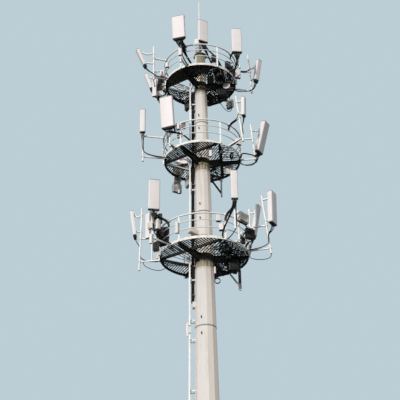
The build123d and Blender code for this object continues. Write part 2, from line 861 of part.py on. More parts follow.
def corner_radii(points):
    """The largest bend that the two runs at each corner of a route leave room for."""
    runs = [b - a for a, b in zip(points, points[1:])]
    radii = []
    for first, second in zip(runs, runs[1:]):
        half_turn = radians(first.get_angle(second)) / 2
        radii.append(0.45 * min(first.length, second.length) / tan(half_turn))
    return radii


def run_cable(points, radius, mode=Mode.ADD):
    """A six-sided cable along a route of points, bent as gently as its runs allow."""
    with BuildLine() as path:
        FilletPolyline(*points, radius=corner_radii(points))
    with BuildSketch(Plane(origin=path.line @ 0, z_dir=path.line % 0)) as section:
        RegularPolygon(radius, jumper_sides)
    sweep(section.sketch, path=path.line, mode=mode)


def jumper_route(name, deck, radius, item):
    """Points of an antenna's cable: down beside its pipe, then in to the ring or under it."""
    mount = mounts[name][item[0]]
    angle = mount[0]
    depth = item[3][1]
    plane = held_plane(deck, radius, mount, item)
    start = plane.origin + plane.y_dir * (depth / 2) - plane.z_dir * (connector_drop + seat)
    drop = start - plane.z_dir * jumper_drop
    past_post = (angle - frame_turn + 180 / post_count) % (360 / post_count) > 180 / post_count
    flipped = (name, antennas[name].index(item)) in jumper_other_side
    side = 90 if past_post != flipped else -90
    beside = plan_point(angle + side, pipe_clamp / 2 + jumper_radius + jumper_clearance, 0)
    slack = start.Z - deck - jumper_slack
    upper = pipe_point(deck, radius, mount, slack) + beside
    ring_line = -ring_depth / 2
    if item[0] < 0:
        return [start, drop, upper, Vector(beside.X, beside.Y, rod_foot - spigot_height)]
    if slack > ring_line + jumper_drop / 2:
        corner = pipe_point(deck, radius, mount, ring_line) + beside
        return [start, drop, upper, corner, plan_point(angle, radius + seat, corner.Z) + beside]
    end = plan_point(angle, radius - ring_web / 2, deck - ring_depth - seat) + beside
    return [start, drop, upper, Vector(end.X, end.Y, end.Z - jumper_drop), end]


def build_jumpers(name, deck, radius):
    """One cable for each panel antenna."""
    with BuildPart() as jumpers:
        for item in antennas[name]:
            run_cable(jumper_route(name, deck, radius, item), jumper_radius)
    save(jumpers.part, f"{name}_jumper_cables")


for name, deck, radius in platforms:
    build_arms(name, deck, radius)
    build_ring_frame(name, deck, radius)
    build_decks(name, deck, radius)
    build_handrail(name, deck, radius)
    build_mounts(name, deck, radius)
    build_antennas(name, deck, radius)
    build_radio_units(name, deck, radius)
    build_jumpers(name, deck, radius)

for name, route in hanging_cables.items():
    points = [Vector(*point) for point in route]
    with BuildPart() as hanging:
        run_cable(points, hanging_radius)
    save(hanging.part, name)
    print(name, [round(radius) for radius in corner_radii(points)])
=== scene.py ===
import bpy
import numpy as np
from mathutils import Matrix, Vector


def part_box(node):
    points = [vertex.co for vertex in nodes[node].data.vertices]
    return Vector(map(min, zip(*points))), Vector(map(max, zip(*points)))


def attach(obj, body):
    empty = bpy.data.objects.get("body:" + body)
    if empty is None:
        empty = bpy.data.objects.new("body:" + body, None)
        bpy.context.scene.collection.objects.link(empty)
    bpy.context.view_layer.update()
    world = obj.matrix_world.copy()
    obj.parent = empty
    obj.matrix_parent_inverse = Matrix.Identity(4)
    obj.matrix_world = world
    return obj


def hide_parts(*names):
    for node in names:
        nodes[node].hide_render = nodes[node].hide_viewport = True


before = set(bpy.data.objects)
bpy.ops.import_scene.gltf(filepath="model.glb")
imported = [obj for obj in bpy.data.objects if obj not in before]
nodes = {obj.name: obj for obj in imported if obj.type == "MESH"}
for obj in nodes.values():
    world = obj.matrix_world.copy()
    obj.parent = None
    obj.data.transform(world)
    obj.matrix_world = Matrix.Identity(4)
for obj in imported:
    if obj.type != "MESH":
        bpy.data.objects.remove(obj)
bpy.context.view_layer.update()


# Camera on the ground in front of the tower, looking up, with the 90 mm view of the photograph.
# It leans a degree to its right, so the pole leans a little to the left.
camera_place = (-0.127, -35.4, 1.6)
camera_pitch = 30.3
camera_lean = -1.11
camera_data = bpy.data.cameras.new("camera")
camera_data.lens = 90.0
camera_data.sensor_width = 36.0
camera_data.clip_end = 500.0
camera = bpy.data.objects.new("camera", camera_data)
camera.matrix_world = (
    Matrix.Translation(camera_place)
    @ Matrix.Rotation(np.radians(90 + camera_pitch), 4, "X")
    @ Matrix.Rotation(np.radians(camera_lean), 4, "Z")
)
bpy.context.scene.collection.objects.link(camera)
bpy.context.scene.camera = camera


# Light: a wide soft sun from the upper left in front, and a pale sky that fills from above.
# The lower half of the sky lights little, so the undersides of the decks stay dark.
sun_turn = -27.0
sun_height = 8.0
sun_data = bpy.data.lights.new("sun", "SUN")
sun_data.energy = 2.7
sun_data.angle = np.radians(4.0)
sun_data.color = (1.0, 0.97, 0.92)
sun = bpy.data.objects.new("sun", sun_data)
sun.rotation_euler = (np.radians(90 - sun_height), 0, np.radians(sun_turn))
bpy.context.scene.collection.objects.link(sun)


class Sheet:
    """The node tree of a world or a material, filled by short calls."""

    def __init__(self, owner):
        owner.use_nodes = True
        self.owner, self.tree = owner, owner.node_tree
        self.tree.nodes.clear()

    def put(self, kind, settings=None, **inputs):
        """Adds a node, sets its settings, and sets or links its inputs by name or number."""
        node = self.tree.nodes.new("ShaderNode" + kind)
        for name, value in (settings or {}).items():
            setattr(node, name, value)
        for name, value in inputs.items():
            socket = node.inputs[int(name[1:]) if name[0] == "_" else name.replace("_", " ")]
            if isinstance(value, bpy.types.Node):
                value = value.outputs[0]
            if isinstance(value, bpy.types.NodeSocket):
                self.tree.links.new(value, socket)
            else:
                socket.default_value = value
        return node

    def math(self, operation, first, second=0.0, clamp=False):
        """One sum on two values, held between 0 and 1 where it is clamped."""
        settings = {"operation": operation, "use_clamp": clamp}
        return self.put("Math", settings, _0=first, _1=second)

    def ramp(self, value, low, high, first=0.0, last=1.0):
        """A value carried from the range low to high into first to last, and held at its ends."""
        return self.put("MapRange", _0=value, _1=low, _2=high, _3=first, _4=last)

    def blend(self, share, first, second):
        """Colour between two colours, by a share from 0 to 1."""
        first, second = [(*c, 1) if isinstance(c, tuple) else c for c in (first, second)]
        node = self.put("Mix", {"data_type": "RGBA"}, _0=share, _6=first, _7=second)
        return node.outputs[2]

    def place(self):
        """Where a point is on the tower, in metres."""
        return self.put("TexCoord").outputs["Object"]

    def facing(self):
        """The way a face looks."""
        return self.put("NewGeometry").outputs["Normal"]

    def along(self, axis, vector):
        """A vector's share along X, Y or Z."""
        return self.put("SeparateXYZ", _0=vector).outputs[axis]

    def noise(self, place, scale, detail, roughness=0.5):
        """Cloudy noise of a scale, from 0 to 1."""
        settings = {"Scale": scale, "Detail": detail, "Roughness": roughness}
        return self.put("TexNoise", Vector=place, **settings)

    def coated(self, colour, **finish):
        """Ends a material with one coat of the colour, and returns it."""
        skin = self.put("BsdfPrincipled", Base_Color=colour, **finish)
        self.put("OutputMaterial", Surface=skin)
        return self.owner


world = bpy.data.worlds.new("studio")
bpy.context.scene.world = world
sky = Sheet(world)
ray = sky.put("LightPath").outputs
seen = sky.math("MAXIMUM", ray["Is Camera Ray"], ray["Is Glossy Ray"])
seen = sky.math("MAXIMUM", seen, ray["Is Transmission Ray"])
rise = sky.along("Z", sky.put("TexCoord").outputs["Generated"])
fill_strength = sky.ramp(rise, -0.2, 0.2, 0.07, 0.6)
fill = sky.put("Background", Color=(0.93, 0.97, 1.0, 1), Strength=fill_strength)
backdrop = sky.put("Background", Color=(0.5, 0.61, 0.67, 1), Strength=1.0)
either = sky.put("MixShader", _0=seen, _1=fill, _2=backdrop)
sky.put("OutputWorld", Surface=either)


# Floor: a plain pale disc that the tower stands on, for the pictures alone. It is pale to the
# camera and dull to all other rays, so that it throws little light up on to the undersides.
floor_radius = 40.0
floor_sides = 96
turn = np.arange(floor_sides) * 2 * np.pi / floor_sides
rim = np.stack([floor_radius * np.cos(turn), floor_radius * np.sin(turn), 0 * turn], axis=1)
floor_mesh = bpy.data.meshes.new("floor")
floor_mesh.from_pydata(rim, [], [range(floor_sides)])
floor = bpy.data.objects.new("floor", floor_mesh)
bpy.context.scene.collection.objects.link(floor)
paving = Sheet(bpy.data.materials.new("pale_floor"))
ray = paving.put("LightPath").outputs
pale = paving.put("BsdfDiffuse", Color=(0.62, 0.7, 0.74, 1))
dull = paving.put("BsdfDiffuse", Color=(0.16, 0.16, 0.16, 1))
either = paving.put("MixShader", _0=ray["Is Camera Ray"], _1=dull, _2=pale)
paving.put("OutputMaterial", Surface=either)
floor_mesh.materials.append(paving.owner)


# Pole: five folded twelve-sided steel sections, slipped one over the other and painted cream.
# Rain has washed rust down the paint under each platform and at the joints. Painted shadow darkens
# a striped band under the lower and middle collars and the pole just under the top deck, and painted
# light makes the right-hand faces warmer and paler and the pole above the top deck a sandier cream.
levels = ("lower", "middle", "top")
deck_height = {level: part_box(f"{level}_ring_frame")[1].z for level in levels}
collar_foot = 0.6
stain_start, stain_end = 0.39, 0.76
painted_top_deck_shade_foot = 0.62
brown_foot = 2.1


def coat(node_names, material):
    """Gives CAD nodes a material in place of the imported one."""
    for name in node_names:
        slots = nodes[name].material_slots
        if not slots:
            nodes[name].data.materials.append(material)
        for slot in slots:
            slot.material = material


sheet = Sheet(bpy.data.materials.new("weathered_cream_paint"))
place = sheet.place()
height = sheet.along("Z", place)
streak_place = sheet.put("Mapping", Vector=place, Scale=(9.0, 9.0, 0.9))
streaks = sheet.noise(streak_place, 1.0, 5.0, 0.6)
# Painted shadow under the lower and middle collars: a band that the deck shades, striped with painted
# light through the grating's bars, and darkest at its lower edge.
grating_light_stripes = sheet.put("TexWave", Vector=place, Scale=2.6, Distortion=0.6)
grating_light_stripes = sheet.ramp(grating_light_stripes, 0.4, 0.7, 0.85, 0.1)
stain, painted_grating_shadow, seam = 0.0, 0.0, 0.0
for level in levels:
    drop = sheet.math("SUBTRACT", deck_height[level], height)
    under = sheet.math("GREATER_THAN", drop, 0.0)
    reach = sheet.ramp(drop, stain_start, stain_end, 1.0, 0.0)
    stain = sheet.math("ADD", stain, sheet.math("MULTIPLY", reach, under))
    if level != "top":
        lip = sheet.math("ADD", grating_light_stripes, sheet.ramp(drop, collar_foot - 0.04, collar_foot))
        belt = sheet.ramp(drop, collar_foot - 0.01, collar_foot + 0.01, 1.0, 0.0)
        belt = sheet.math("MULTIPLY", sheet.math("MULTIPLY", lip, belt), under)
        painted_grating_shadow = sheet.math("ADD", painted_grating_shadow, belt, clamp=True)
stain = sheet.math("MULTIPLY", stain, sheet.ramp(streaks, 0.32, 0.55, 0.3, 1.0), clamp=True)
for k in range(2, 6):
    gap = sheet.math("SUBTRACT", height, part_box(f"pole_section_{k}")[0].z)
    near = sheet.ramp(sheet.math("ABSOLUTE", gap), 0.01, 0.045, 1.0, 0.0)
    seam = sheet.math("ADD", seam, near, clamp=True)
# Painted light: faces turned towards +X, away from the sun, are coloured paler and warmer.
painted_side_light = sheet.ramp(sheet.along("X", sheet.facing()), 0.2, 0.7, 0.0, 0.9)
brown = sheet.ramp(sheet.along("X", place), 0.08, 0.24)
brown = sheet.math("MULTIPLY", brown, sheet.ramp(drop, brown_foot, 0.8))
brown = sheet.math("MULTIPLY", brown, sheet.ramp(streaks, 0.35, 0.55, 0.2, 0.9))
# Painted shade: the pole from just under the top deck down to 0.4 m is coloured near black, fading out by
# 0.62 m.
painted_top_deck_shade = sheet.math("MULTIPLY", sheet.ramp(drop, painted_top_deck_shade_foot, 0.4), sheet.ramp(drop, -0.02, 0.02))
tone = sheet.blend(sheet.noise(place, 1.3, 4.0), (0.69, 0.665, 0.65), (0.645, 0.605, 0.575))
for share, colour in (
    (sheet.ramp(streaks, 0.52, 0.75, 0.0, 0.5), (0.5, 0.38, 0.24)),
    (painted_side_light, (0.92, 0.8, 0.69)),
    (brown, (0.2, 0.14, 0.07)),
    (painted_grating_shadow, (0.3, 0.24, 0.14)),
    (stain, (0.15, 0.12, 0.05)),
    (sheet.ramp(seam, 0.0, 1.0, 0.0, 0.75), (0.1, 0.075, 0.05)),
    (painted_top_deck_shade, (0.035, 0.03, 0.024)),
    # painted light: the pole above the top deck, shaded there by an antenna, is coloured a sandier cream
    (sheet.ramp(drop, -0.02, -0.06), (0.98, 0.86, 0.62)),
):
    tone = sheet.blend(share, tone, colour)
paint = sheet.coated(tone, Roughness=0.55)
coat([f"pole_section_{k}" for k in range(1, 6)], paint)
coat(["base_flange", "cable_port", "junction_box"], paint)


# Anchor bolts: twelve galvanised studs cast into the foundation, each with a washer, a nut that
# holds the flange down and a lock nut over it.
anchor_circle = 0.77
anchor_turns = np.arange(12) * 30.0 + 15.0
flange_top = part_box("base_flange")[1].z


def plan(angle, radius, height):
    """Point at a plan angle in degrees: radius times its cosine and sine, at the height."""
    turn = np.radians(np.asarray(angle, float))
    flat = radius * np.cos(turn), radius * np.sin(turn)
    return np.stack(np.broadcast_arrays(*flat, height), axis=-1)


def unit(vectors):
    """Vectors of length one: each divided by the root of its squares' sum."""
    return vectors / np.linalg.norm(vectors, axis=-1, keepdims=True)


def prisms(starts, ends, corners):
    """Bars along lines: an outline's corners round each line, at its start and at its end.

    The outline's axes are square to the line: the first is level, where the line isn't upright."""
    starts, ends = np.atleast_2d(starts), np.atleast_2d(ends)
    along = unit(ends - starts)
    helper = np.where(np.abs(along[:, 2:]) < 0.95, [[0.0, 0.0, 1.0]], [[1.0, 0.0, 0.0]])
    side = unit(np.cross(helper, along))
    top = np.cross(along, side)
    ring = side[:, None] * corners[:, :1] + top[:, None] * corners[:, 1:]
    return np.stack([starts[:, None] + ring, ends[:, None] + ring], axis=1)


def rods(starts, ends, radius, sides=12):
    """Round bars: the outline is a polygon, the radius times the cosine and sine of each turn."""
    turn = (np.arange(sides) + 0.5) * 2 * np.pi / sides
    return prisms(starts, ends, radius * np.stack([np.cos(turn), np.sin(turn)], axis=1))


def bars(starts, ends, width, height):
    """Flat bars: the outline is a rectangle, the width apart level and the height apart upwards."""
    corners = np.array([[1, 1], [-1, 1], [-1, -1], [1, -1]]) / 2
    return prisms(starts, ends, corners * [width, height])


def fixed(name, data, material, replaced):
    """Sets a finished mesh or curve on the tower, in its material and slot."""
    data.materials.append(material)
    piece = bpy.data.objects.new(name, data)
    bpy.context.scene.collection.objects.link(piece)
    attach(piece, "root")
    if replaced:
        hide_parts(*replaced)
    return piece


def made(name, lofts, material, replaced=()):
    """One piece from several lofts, each an array of copies, rows, points round a row, and x y z.

    Quads join each row to the next. The end rows are closed by flat caps, except in a loft that
    comes with the word "closed", whose last row joins its first."""
    points, faces, start = [], [], 0
    for loft in lofts:
        closed = isinstance(loft, tuple)
        rings = loft[0] if closed else loft
        copies, rows, around = rings.shape[:3]
        index = np.arange(copies * rows * around).reshape(copies, rows, around) + start
        here = index if closed else index[:, :-1]
        ahead = np.roll(index, -1, axis=1) if closed else index[:, 1:]
        quads = np.stack([here, np.roll(here, -1, 2), np.roll(ahead, -1, 2), ahead], axis=-1)
        faces += quads.reshape(-1, 4).tolist()
        if not closed:
            faces += index[:, 0, ::-1].tolist() + index[:, -1].tolist()
        points.append(rings.reshape(-1, 3))
        start += index.size
    mesh = bpy.data.meshes.new(name)
    mesh.from_pydata(np.concatenate(points), [], faces, shade_flat=False)
    mesh.set_sharp_from_angle(angle=np.radians(38))
    return fixed(name, mesh, material, replaced)


def weathered(name, light, dark, under, roughness, metallic=0.0, grain=3.0, shine=0.5):
    """Metal or paint in two tones by a broad noise, with dirt and painted shade on the faces that look
    down.
    """
    sheet = Sheet(bpy.data.materials.new(name))
    cloud = sheet.noise(sheet.place(), grain, 6.0, 0.65)
    tone = sheet.blend(sheet.ramp(cloud, 0.3, 0.7), light, dark)
    # Painted shade: faces that look down take the under colour, with dirt.
    downward_dirt_and_shade = sheet.ramp(sheet.along("Z", sheet.facing()), -0.25, -0.8)
    grimed_and_shaded = sheet.blend(downward_dirt_and_shade, tone, under)
    return sheet.coated(grimed_and_shaded, Roughness=roughness, Metallic=metallic, Specular_IOR_Level=shine)


zinc = weathered(
    "dull_galvanised_steel", (0.78, 0.77, 0.74), (0.58, 0.57, 0.54), (0.1, 0.09, 0.075), 0.5, 0.15,
)
# Each step of a stud: its foot, head, radius and sides.
stud_steps = (
    (0.02, flange_top + 0.15, 0.021, 12),
    (flange_top, flange_top + 0.008, 0.045, 20),
    (flange_top + 0.008, flange_top + 0.044, 0.0375, 6),
    (flange_top + 0.046, flange_top + 0.07, 0.0375, 6),
)
studs = []
for foot, head, radius, sides in stud_steps:
    foot, head = plan(anchor_turns, anchor_circle, foot), plan(anchor_turns, anchor_circle, head)
    studs.append(rods(foot, head, radius, sides))
made("anchor_studs", studs, zinc)


# Ladder and steelwork: hot-dip galvanised angles, flats and tubes, welded up in a shop and bolted
# together on the pole. The cantilever arms, chords and collars are dark on their undersides with
# dirt and painted shade, and the arms and chords are coloured near black as painted shade.
steelwork = weathered(
    "grimed_and_shaded_galvanised_steel", (0.3, 0.29, 0.27), (0.12, 0.11, 0.1), (0.012, 0.01, 0.008), 0.6, 0.1,
)
coat(["pole_cap", "ladder_brackets"], zinc)
# Painted shadow: the jacking lugs are coloured dark, standing for the shadow they cast on the pole.
coat(["cable_hangers", "jacking_lugs"], steelwork)


def banded(name, inner, outer, edge, line):
    """Two colours by the distance from the pole's axis, with the change at the edge, and dirt and painted
    shade below.

    Above the height of the line the outer colour is everywhere."""
    sheet = Sheet(bpy.data.materials.new(name))
    place = sheet.place()
    flat = sheet.put("VectorMath", {"operation": "MULTIPLY"}, _0=place, _1=(1.0, 1.0, 0.0))
    distance = sheet.put("VectorMath", {"operation": "LENGTH"}, _0=flat).outputs["Value"]
    over = sheet.ramp(sheet.along("Z", place), line - 0.01, line + 0.01)
    share = sheet.math("MAXIMUM", over, sheet.ramp(distance, edge - 0.003, edge + 0.003))
    tone = sheet.blend(share, inner, outer)
    patches = sheet.ramp(sheet.noise(place, 6.0, 6.0, 0.7), 0.45, 0.75, 0.0, 0.5)
    dimmed = sheet.blend(patches, tone, (0.1, 0.08, 0.045))
    # Painted shade: faces that look down are coloured near black, with dirt.
    downward_dirt_and_shade = sheet.ramp(sheet.along("Z", sheet.facing()), -0.3, -0.8)
    grimed_and_shaded = sheet.blend(downward_dirt_and_shade, dimmed, (0.008, 0.007, 0.006))
    return sheet.coated(grimed_and_shaded, Roughness=0.6, Specular_IOR_Level=0.1)


pole_hole = {"lower": 0.4, "middle": 0.37, "top": 0.345}
collar_colour = {"lower": (0.78, 0.72, 0.6), "middle": (0.36, 0.31, 0.17), "top": (0.34, 0.29, 0.18)}
# Painted shade: above this line under each deck the collars take the near-black arm colour. The arms and
# chords are coloured near black, and the ring is dark on its inside and pale outside, where the decks
# shade them.
collar_shade_line = {"lower": 0.36, "middle": 0.28, "top": 0.26}
arm_shade_colour = (0.05, 0.046, 0.04)
ring_inside_shade, ring_outside = (0.1, 0.095, 0.085), (0.86, 0.84, 0.8)
ring_web = 0.006
above_all = 100.0
ring_radius = {}
for level in levels:
    low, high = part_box(f"{level}_ring_frame")
    ring_radius[level] = (high.x - low.x) / 2
    collar = banded(f"{level}_arm_steel", collar_colour[level], arm_shade_colour, pole_hole[level] + 0.03,
                    deck_height[level] - collar_shade_line[level])
    coat([f"{level}_arms"], collar)
    rim = banded(f"{level}_ring_steel", ring_inside_shade, ring_outside, ring_radius[level] - ring_web,
                 above_all)
    coat([f"{level}_ring_frame"], rim)


# Feeder cables: corrugated copper cables in black jackets, in four rows of five beside the
# ladder, from the port in the pole up to the top platform.
feeder_radius = 0.015
feeder_pitch = 0.042
feeder_row_pitch = 0.031
feeder_end_gap = 0.001
jacket = weathered(
    "black_cable_jacket", (0.01, 0.01, 0.011), (0.018, 0.017, 0.016), (0.004, 0.004, 0.004), 0.6,
    shine=0.15,
)
low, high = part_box("feeder_cables")
places = np.array([[0, (k - 2) * feeder_pitch, 0] for k in range(5)])
feet = places + [low.x + feeder_radius, 0, low.z + feeder_end_gap]
heads = places + [high.x - feeder_radius, 0, high.z - feeder_end_gap]
rows = [np.array([row * feeder_row_pitch, 0, 0]) for row in (-2, -1, 0, 1)]
made("round_feeders", [rods(feet + row, heads + row, feeder_radius, 16) for row in rows],
     jacket, ["feeder_cables"])


# Bar grating: flat bearing bars on edge that run outwards from the chords, with thin cross rods
# welded over them and a frame of flat bar. It is coloured near black, and darker still with painted
# shade on the faces that look down.
frame_turn = -3.5
grating_depth = 0.03
bar_pitches = {
    "lower": (0.104, 0.104, 0.104), "middle": (0.13, 0.092, 0.092), "top": (0.08, 0.08, 0.044),
}
bar_widths = {
    "lower": (0.024, 0.024, 0.036), "middle": (0.012, 0.024, 0.046), "top": (0.024, 0.024, 0.024),
}
bar_thickness = 0.024
rod_pitch, rod_radius, rod_rise = 0.22, 0.004, 0.011
rim_gap, chord_gap, corner_gap = 0.014, 0.004, 0.02
corner_slope = np.tan(np.radians(60))
grating_steel = weathered(
    "near_black_grating", (0.045, 0.038, 0.024), (0.018, 0.016, 0.012), (0.005, 0.005, 0.004), 0.7, shine=0.1,
)


def heading(angle):
    """Level direction of a plan angle, of length one."""
    return plan(angle, 1.0, 0.0)


def across(turn, depth, left, right, height):
    """Lines square to the direction turn, at each depth along it, between two sideways places."""
    base = depth[:, None] * heading(turn) + [0, 0, height]
    return base + left[:, None] * heading(turn + 90), base + right[:, None] * heading(turn + 90)


def outwards(turn, place, near, far, height):
    """Lines along the direction turn, at each sideways place, between two depths."""
    base = place[:, None] * heading(turn + 90) + [0, 0, height]
    return base + near[:, None] * heading(turn), base + far[:, None] * heading(turn)


for level in levels:
    radius, hole = ring_radius[level], pole_hole[level]
    middle = deck_height[level] - grating_depth / 2
    rim, chord = radius - rim_gap, radius / 2 + chord_gap
    widest = np.sqrt(rim**2 - chord**2) - 0.03
    flats, cross_rods = [], []
    for k in range(3):
        turn = frame_turn + 120 * k
        place = np.linspace(-widest, widest, 2 * int(widest / bar_pitches[level][k]) + 1)
        ends = outwards(turn, place, 0 * place + chord, np.sqrt(rim**2 - place**2), middle)
        flats.append(bars(*ends, bar_widths[level][k], grating_depth))
        ends = across(turn, *np.array([[chord], [-widest], [widest]]), middle)
        flats.append(bars(*ends, bar_thickness, grating_depth))
        swing = np.degrees(np.arccos(chord / rim))
        edge = plan(np.linspace(turn - swing, turn + swing, 41), rim, middle)
        flats.append(bars(edge[:-1], edge[1:], bar_thickness, grating_depth))
        depth = np.arange(chord + rod_pitch, rim, rod_pitch)
        half = np.sqrt(rim**2 - depth**2)
        cross_rods.append(rods(*across(turn, depth, -half, half, middle + rod_rise), rod_radius, 4))
    for turn in (frame_turn - 60, frame_turn + 60):
        reach = radius * 0.43
        place = np.linspace(-reach, reach, 2 * int(reach / bar_pitches[level][1]) + 1)
        inside = np.sqrt(np.clip(hole**2 - place**2, 0, None))
        near = np.maximum(np.abs(place) / corner_slope, inside)
        far = radius - corner_gap - np.abs(place) * corner_slope
        flats.append(bars(*outwards(turn, place, near, far, middle), bar_thickness, grating_depth))
        depth = np.arange(hole / 2, radius - 0.03, rod_pitch)
        half = np.minimum((radius - corner_gap - depth) / corner_slope, depth * corner_slope)
        inside = np.sqrt(np.clip(hole**2 - depth**2, 0, None))
        wide = half > inside + 0.01
        for hand in (-1, 1):
            ends = across(turn, depth[wide], hand * inside[wide], hand * half[wide], middle + rod_rise)
            cross_rods.append(rods(*ends, rod_radius, 4))
    made(f"{level}_bar_grating", flats + cross_rods, grating_steel,
         [f"{level}_outer_grating", f"{level}_inner_grating"])


# Chord strips: painted light, a bright flat bar in the galvanised steel's colour down one side of a
# chord beam under each of the two upper decks, on the face that the sun lights through the open
# corner of the deck.
strip_width, strip_thickness = 0.07, 0.005
for level in ("middle", "top"):
    radius = ring_radius[level]
    span = np.array([[radius / 2 - 0.033], [0.1], [radius * 0.8]])
    strip = across(frame_turn + 120, *span, deck_height[level] - 0.07)
    made(f"{level}_chord_light_strip", [bars(*strip, strip_thickness, strip_width)], zinc)


# Handrails: six angle posts bolted to the ring, a round top rail and two thinner mid rails, each
# rolled to the ring's curve. They stand in the light and are the brightest steel.
rail_height = 0.97
rail_thickness = {0.97: 0.03, 0.67: 0.018, 0.34: 0.018}
post_seat = 0.0003
post_width, post_depth, post_steel = 0.07, 0.06, 0.008
post_foot = 0.11
sleeve_half, sleeve_radius = 0.07, 0.0335
post_turns = frame_turn + 60.0 * np.arange(6)
bright_zinc = weathered(
    "bright_galvanised_steel", (0.93, 0.92, 0.89), (0.8, 0.79, 0.76), (0.55, 0.53, 0.5), 0.5,
)
coat(["climbing_ladder", "lightning_rod"], bright_zinc)


def hoop(radius, height, thickness, steps=96, sides=12):
    """A ring of round bar: a small circle of the thickness carried once round the pole's axis."""
    turn = np.arange(steps)[:, None] * 2 * np.pi / steps
    small = np.arange(sides)[None] * 2 * np.pi / sides
    out = radius - thickness * np.cos(small)
    points = out * np.cos(turn), out * np.sin(turn), height + thickness * np.sin(small)
    return np.stack(np.broadcast_arrays(*points), axis=-1)[None]


for level in levels:
    deck, inner = deck_height[level], ring_radius[level] + post_seat
    line = inner + post_depth / 2
    foot, head = deck - post_foot, deck + rail_height
    shift = plan(post_turns + 90, (post_width - post_steel) / 2, 0)
    back = [plan(post_turns, inner + post_steel / 2, end) for end in (foot, head)]
    side = [plan(post_turns, line, end) + shift for end in (foot, head)]
    ahead = plan(post_turns + 120, sleeve_half, 0)
    centre = plan(post_turns + 30, line, head)
    parts = [(hoop(line, deck + up, thickness), "closed") for up, thickness in rail_thickness.items()]
    parts += [bars(*back, post_width, post_steel), bars(*side, post_steel, post_depth),
              rods(centre - ahead, centre + ahead, sleeve_radius, 12)]
    for drop in (0.03, 0.085):
        ends = [plan(post_turns, inner + out, deck - drop) - 0.3 * shift for out in (0.008, 0.022)]
        parts.append(rods(*ends, 0.013, 6))
    made(f"{level}_rails", parts, bright_zinc, [f"{level}_handrail"])


# Stand-off mounts: galvanised pipes held off the ring and the top rail by square arms, each with
# a bolted clamp at both ends. Flat bars with hinge bolts carry the antennas on the pipes.
rail_line = {level: ring_radius[level] + post_seat + post_depth / 2 for level in levels}
# Each mount: plan angle, reach past the ring, inward lean, and foot and head above the deck.
mounts = {
    "lower": [
        (174, 0.83, 0.03, -0.45, 2.4), (-139, 0.83, 0, -0.2, 2.4), (-62, 0.76, 0, 0, 2.4),
        (-15, 0.9, 0.1, -0.3, 2.35), (-3, 0.09, 0, 0.3, 2.05), (43, 0.18, 0, -0.9, 0.25),
        (-46, 0.18, 0, -0.15, 1.25),
    ],
    "middle": [
        (-169, 0.91, 0, -0.28, 2.2), (-133, 0.32, 0, -0.2, 2.0), (-47, 0.8, 0.13, -0.25, 2.15),
        (-3, 0.62, 0.07, -0.09, 1.7), (63, 0.18, 0, -0.85, 0.25), (122, 0.33, 0, -0.6, 1.3),
    ],
    "top": [
        (-162, 0.6, 0, -0.2, 1.6), (-113.5, 0.54, 0, -0.25, 1.9), (-33, 0.48, 0.15, 0, 1.9),
        (12, 0.77, 0.05, -0.17, 1.93), (172, 0.49, 0, -0.4, 1.0), (158, 0.3, 0, -0.5, 0.8),
        (45, 0.15, 0, -0.45, 0.9), (0, -ring_radius["top"], 0, 1.5543, 3.354),
    ],
}
hanging_mount = {"lower": 5, "middle": 4}
# Each antenna and radio unit: its mount, facing, tilt, size, foot above the deck, and distance
# from the pipe.
antennas = {
    "lower": [
        (0, 180, 7.5, (0.28, 0.15, 1.15), 1.11, 0.19), (1, -78, 5, (0.45, 0.18, 1.29), 1.08, 0.12),
        (2, -86, 2, (0.27, 0.15, 1.25), 1.19, 0.12), (3, -28, 2, (0.48, 0.2, 1.42), 0.96, 0.2),
        (4, -25, 11, (0.29, 0.15, 1.35), 0.79, 0.12),
    ],
    "middle": [
        (0, -95, 1, (0.235, 0.14, 1.15), 1.04, 0.11), (1, -110, 9, (0.56, 0.19, 1.4), 0.63, 0.12),
        (2, -20, 2, (0.25, 0.15, 0.92), 1.03, 0.14), (3, -29, 16, (0.45, 0.2, 1.42), 0.225, 0.18),
    ],
    "top": [
        (0, -170, 22, (0.25, 0.14, 0.9), 0.54, 0.38), (1, -105, 8, (0.56, 0.18, 1.11), 0.89, 0.12),
        (2, -84, 2, (0.44, 0.17, 1.26), 0.75, 0.13), (3, -50, 15, (0.25, 0.15, 1.0), 0.33, 0.32),
        (4, 178, 18, (0.26, 0.14, 0.85), 0.02, 0.14), (5, -165, 6, (0.26, 0.14, 0.78), -0.18, 0.13),
        (-1, -62, 1, (0.46, 0.17, 1.2), 2.15, 0.22),
    ],
}
large_radio, small_radio = (0.33, 0.16, 0.42), (0.2, 0.12, 0.3)
radios = {
    "lower": [
        (6, -42, 0, (0.54, 0.23, 0.4), 0.64, 0.11), (1, 41, 0, large_radio, 0.35, 0.1),
        (1, -139, 0, small_radio, 0.3, 0.09),
    ],
    "middle": [(5, -58, 0, large_radio, 0.4, 0.08), (5, 122, 0, (0.4, 0.2, 0.42), -0.48, 0.11)],
    "top": [
        (5, -22, 0, large_radio, 0.1, 0.07), (6, 45, 0, large_radio, -0.38, 0.1),
        (6, 45, 0, small_radio, 0.35, 0.09), (-1, -150, 0, small_radio, 1.7, 0.09),
    ],
}
pipe_radius = 0.038
plug_length = 0.03
ring_arm_height = -0.055
bracket_inset = 0.16
link_half_gap = 0.028
# Each clamp: the middles of its plates outwards, their thickness, width and height, the places of
# its pins sideways and upwards, where the pins start and end outwards, and their radius.
four_pins = [(side, up) for side in (-0.048, 0.048) for up in (-0.042, 0.042)]
clamps = {
    "pipe": ([-0.05, 0.05], 0.012, 0.11, 0.05, [(-0.047, 0), (0.047, 0)], (-0.055, 0.055), 0.007),
    "ring": ([0.008, 0.018], 0.008, 0.12, 0.11, four_pins, (0.0103, 0.0753), 0.007),
    "rail": ([-0.037, 0.037], 0.01, 0.12, 0.11, four_pins, (-0.045, 0.045), 0.007),
    "bracket": ([-0.046, 0.046], 0.012, 0.11, 0.05, [(-0.046, 0), (0.046, 0)], (-0.065, 0.06), 0.006),
}


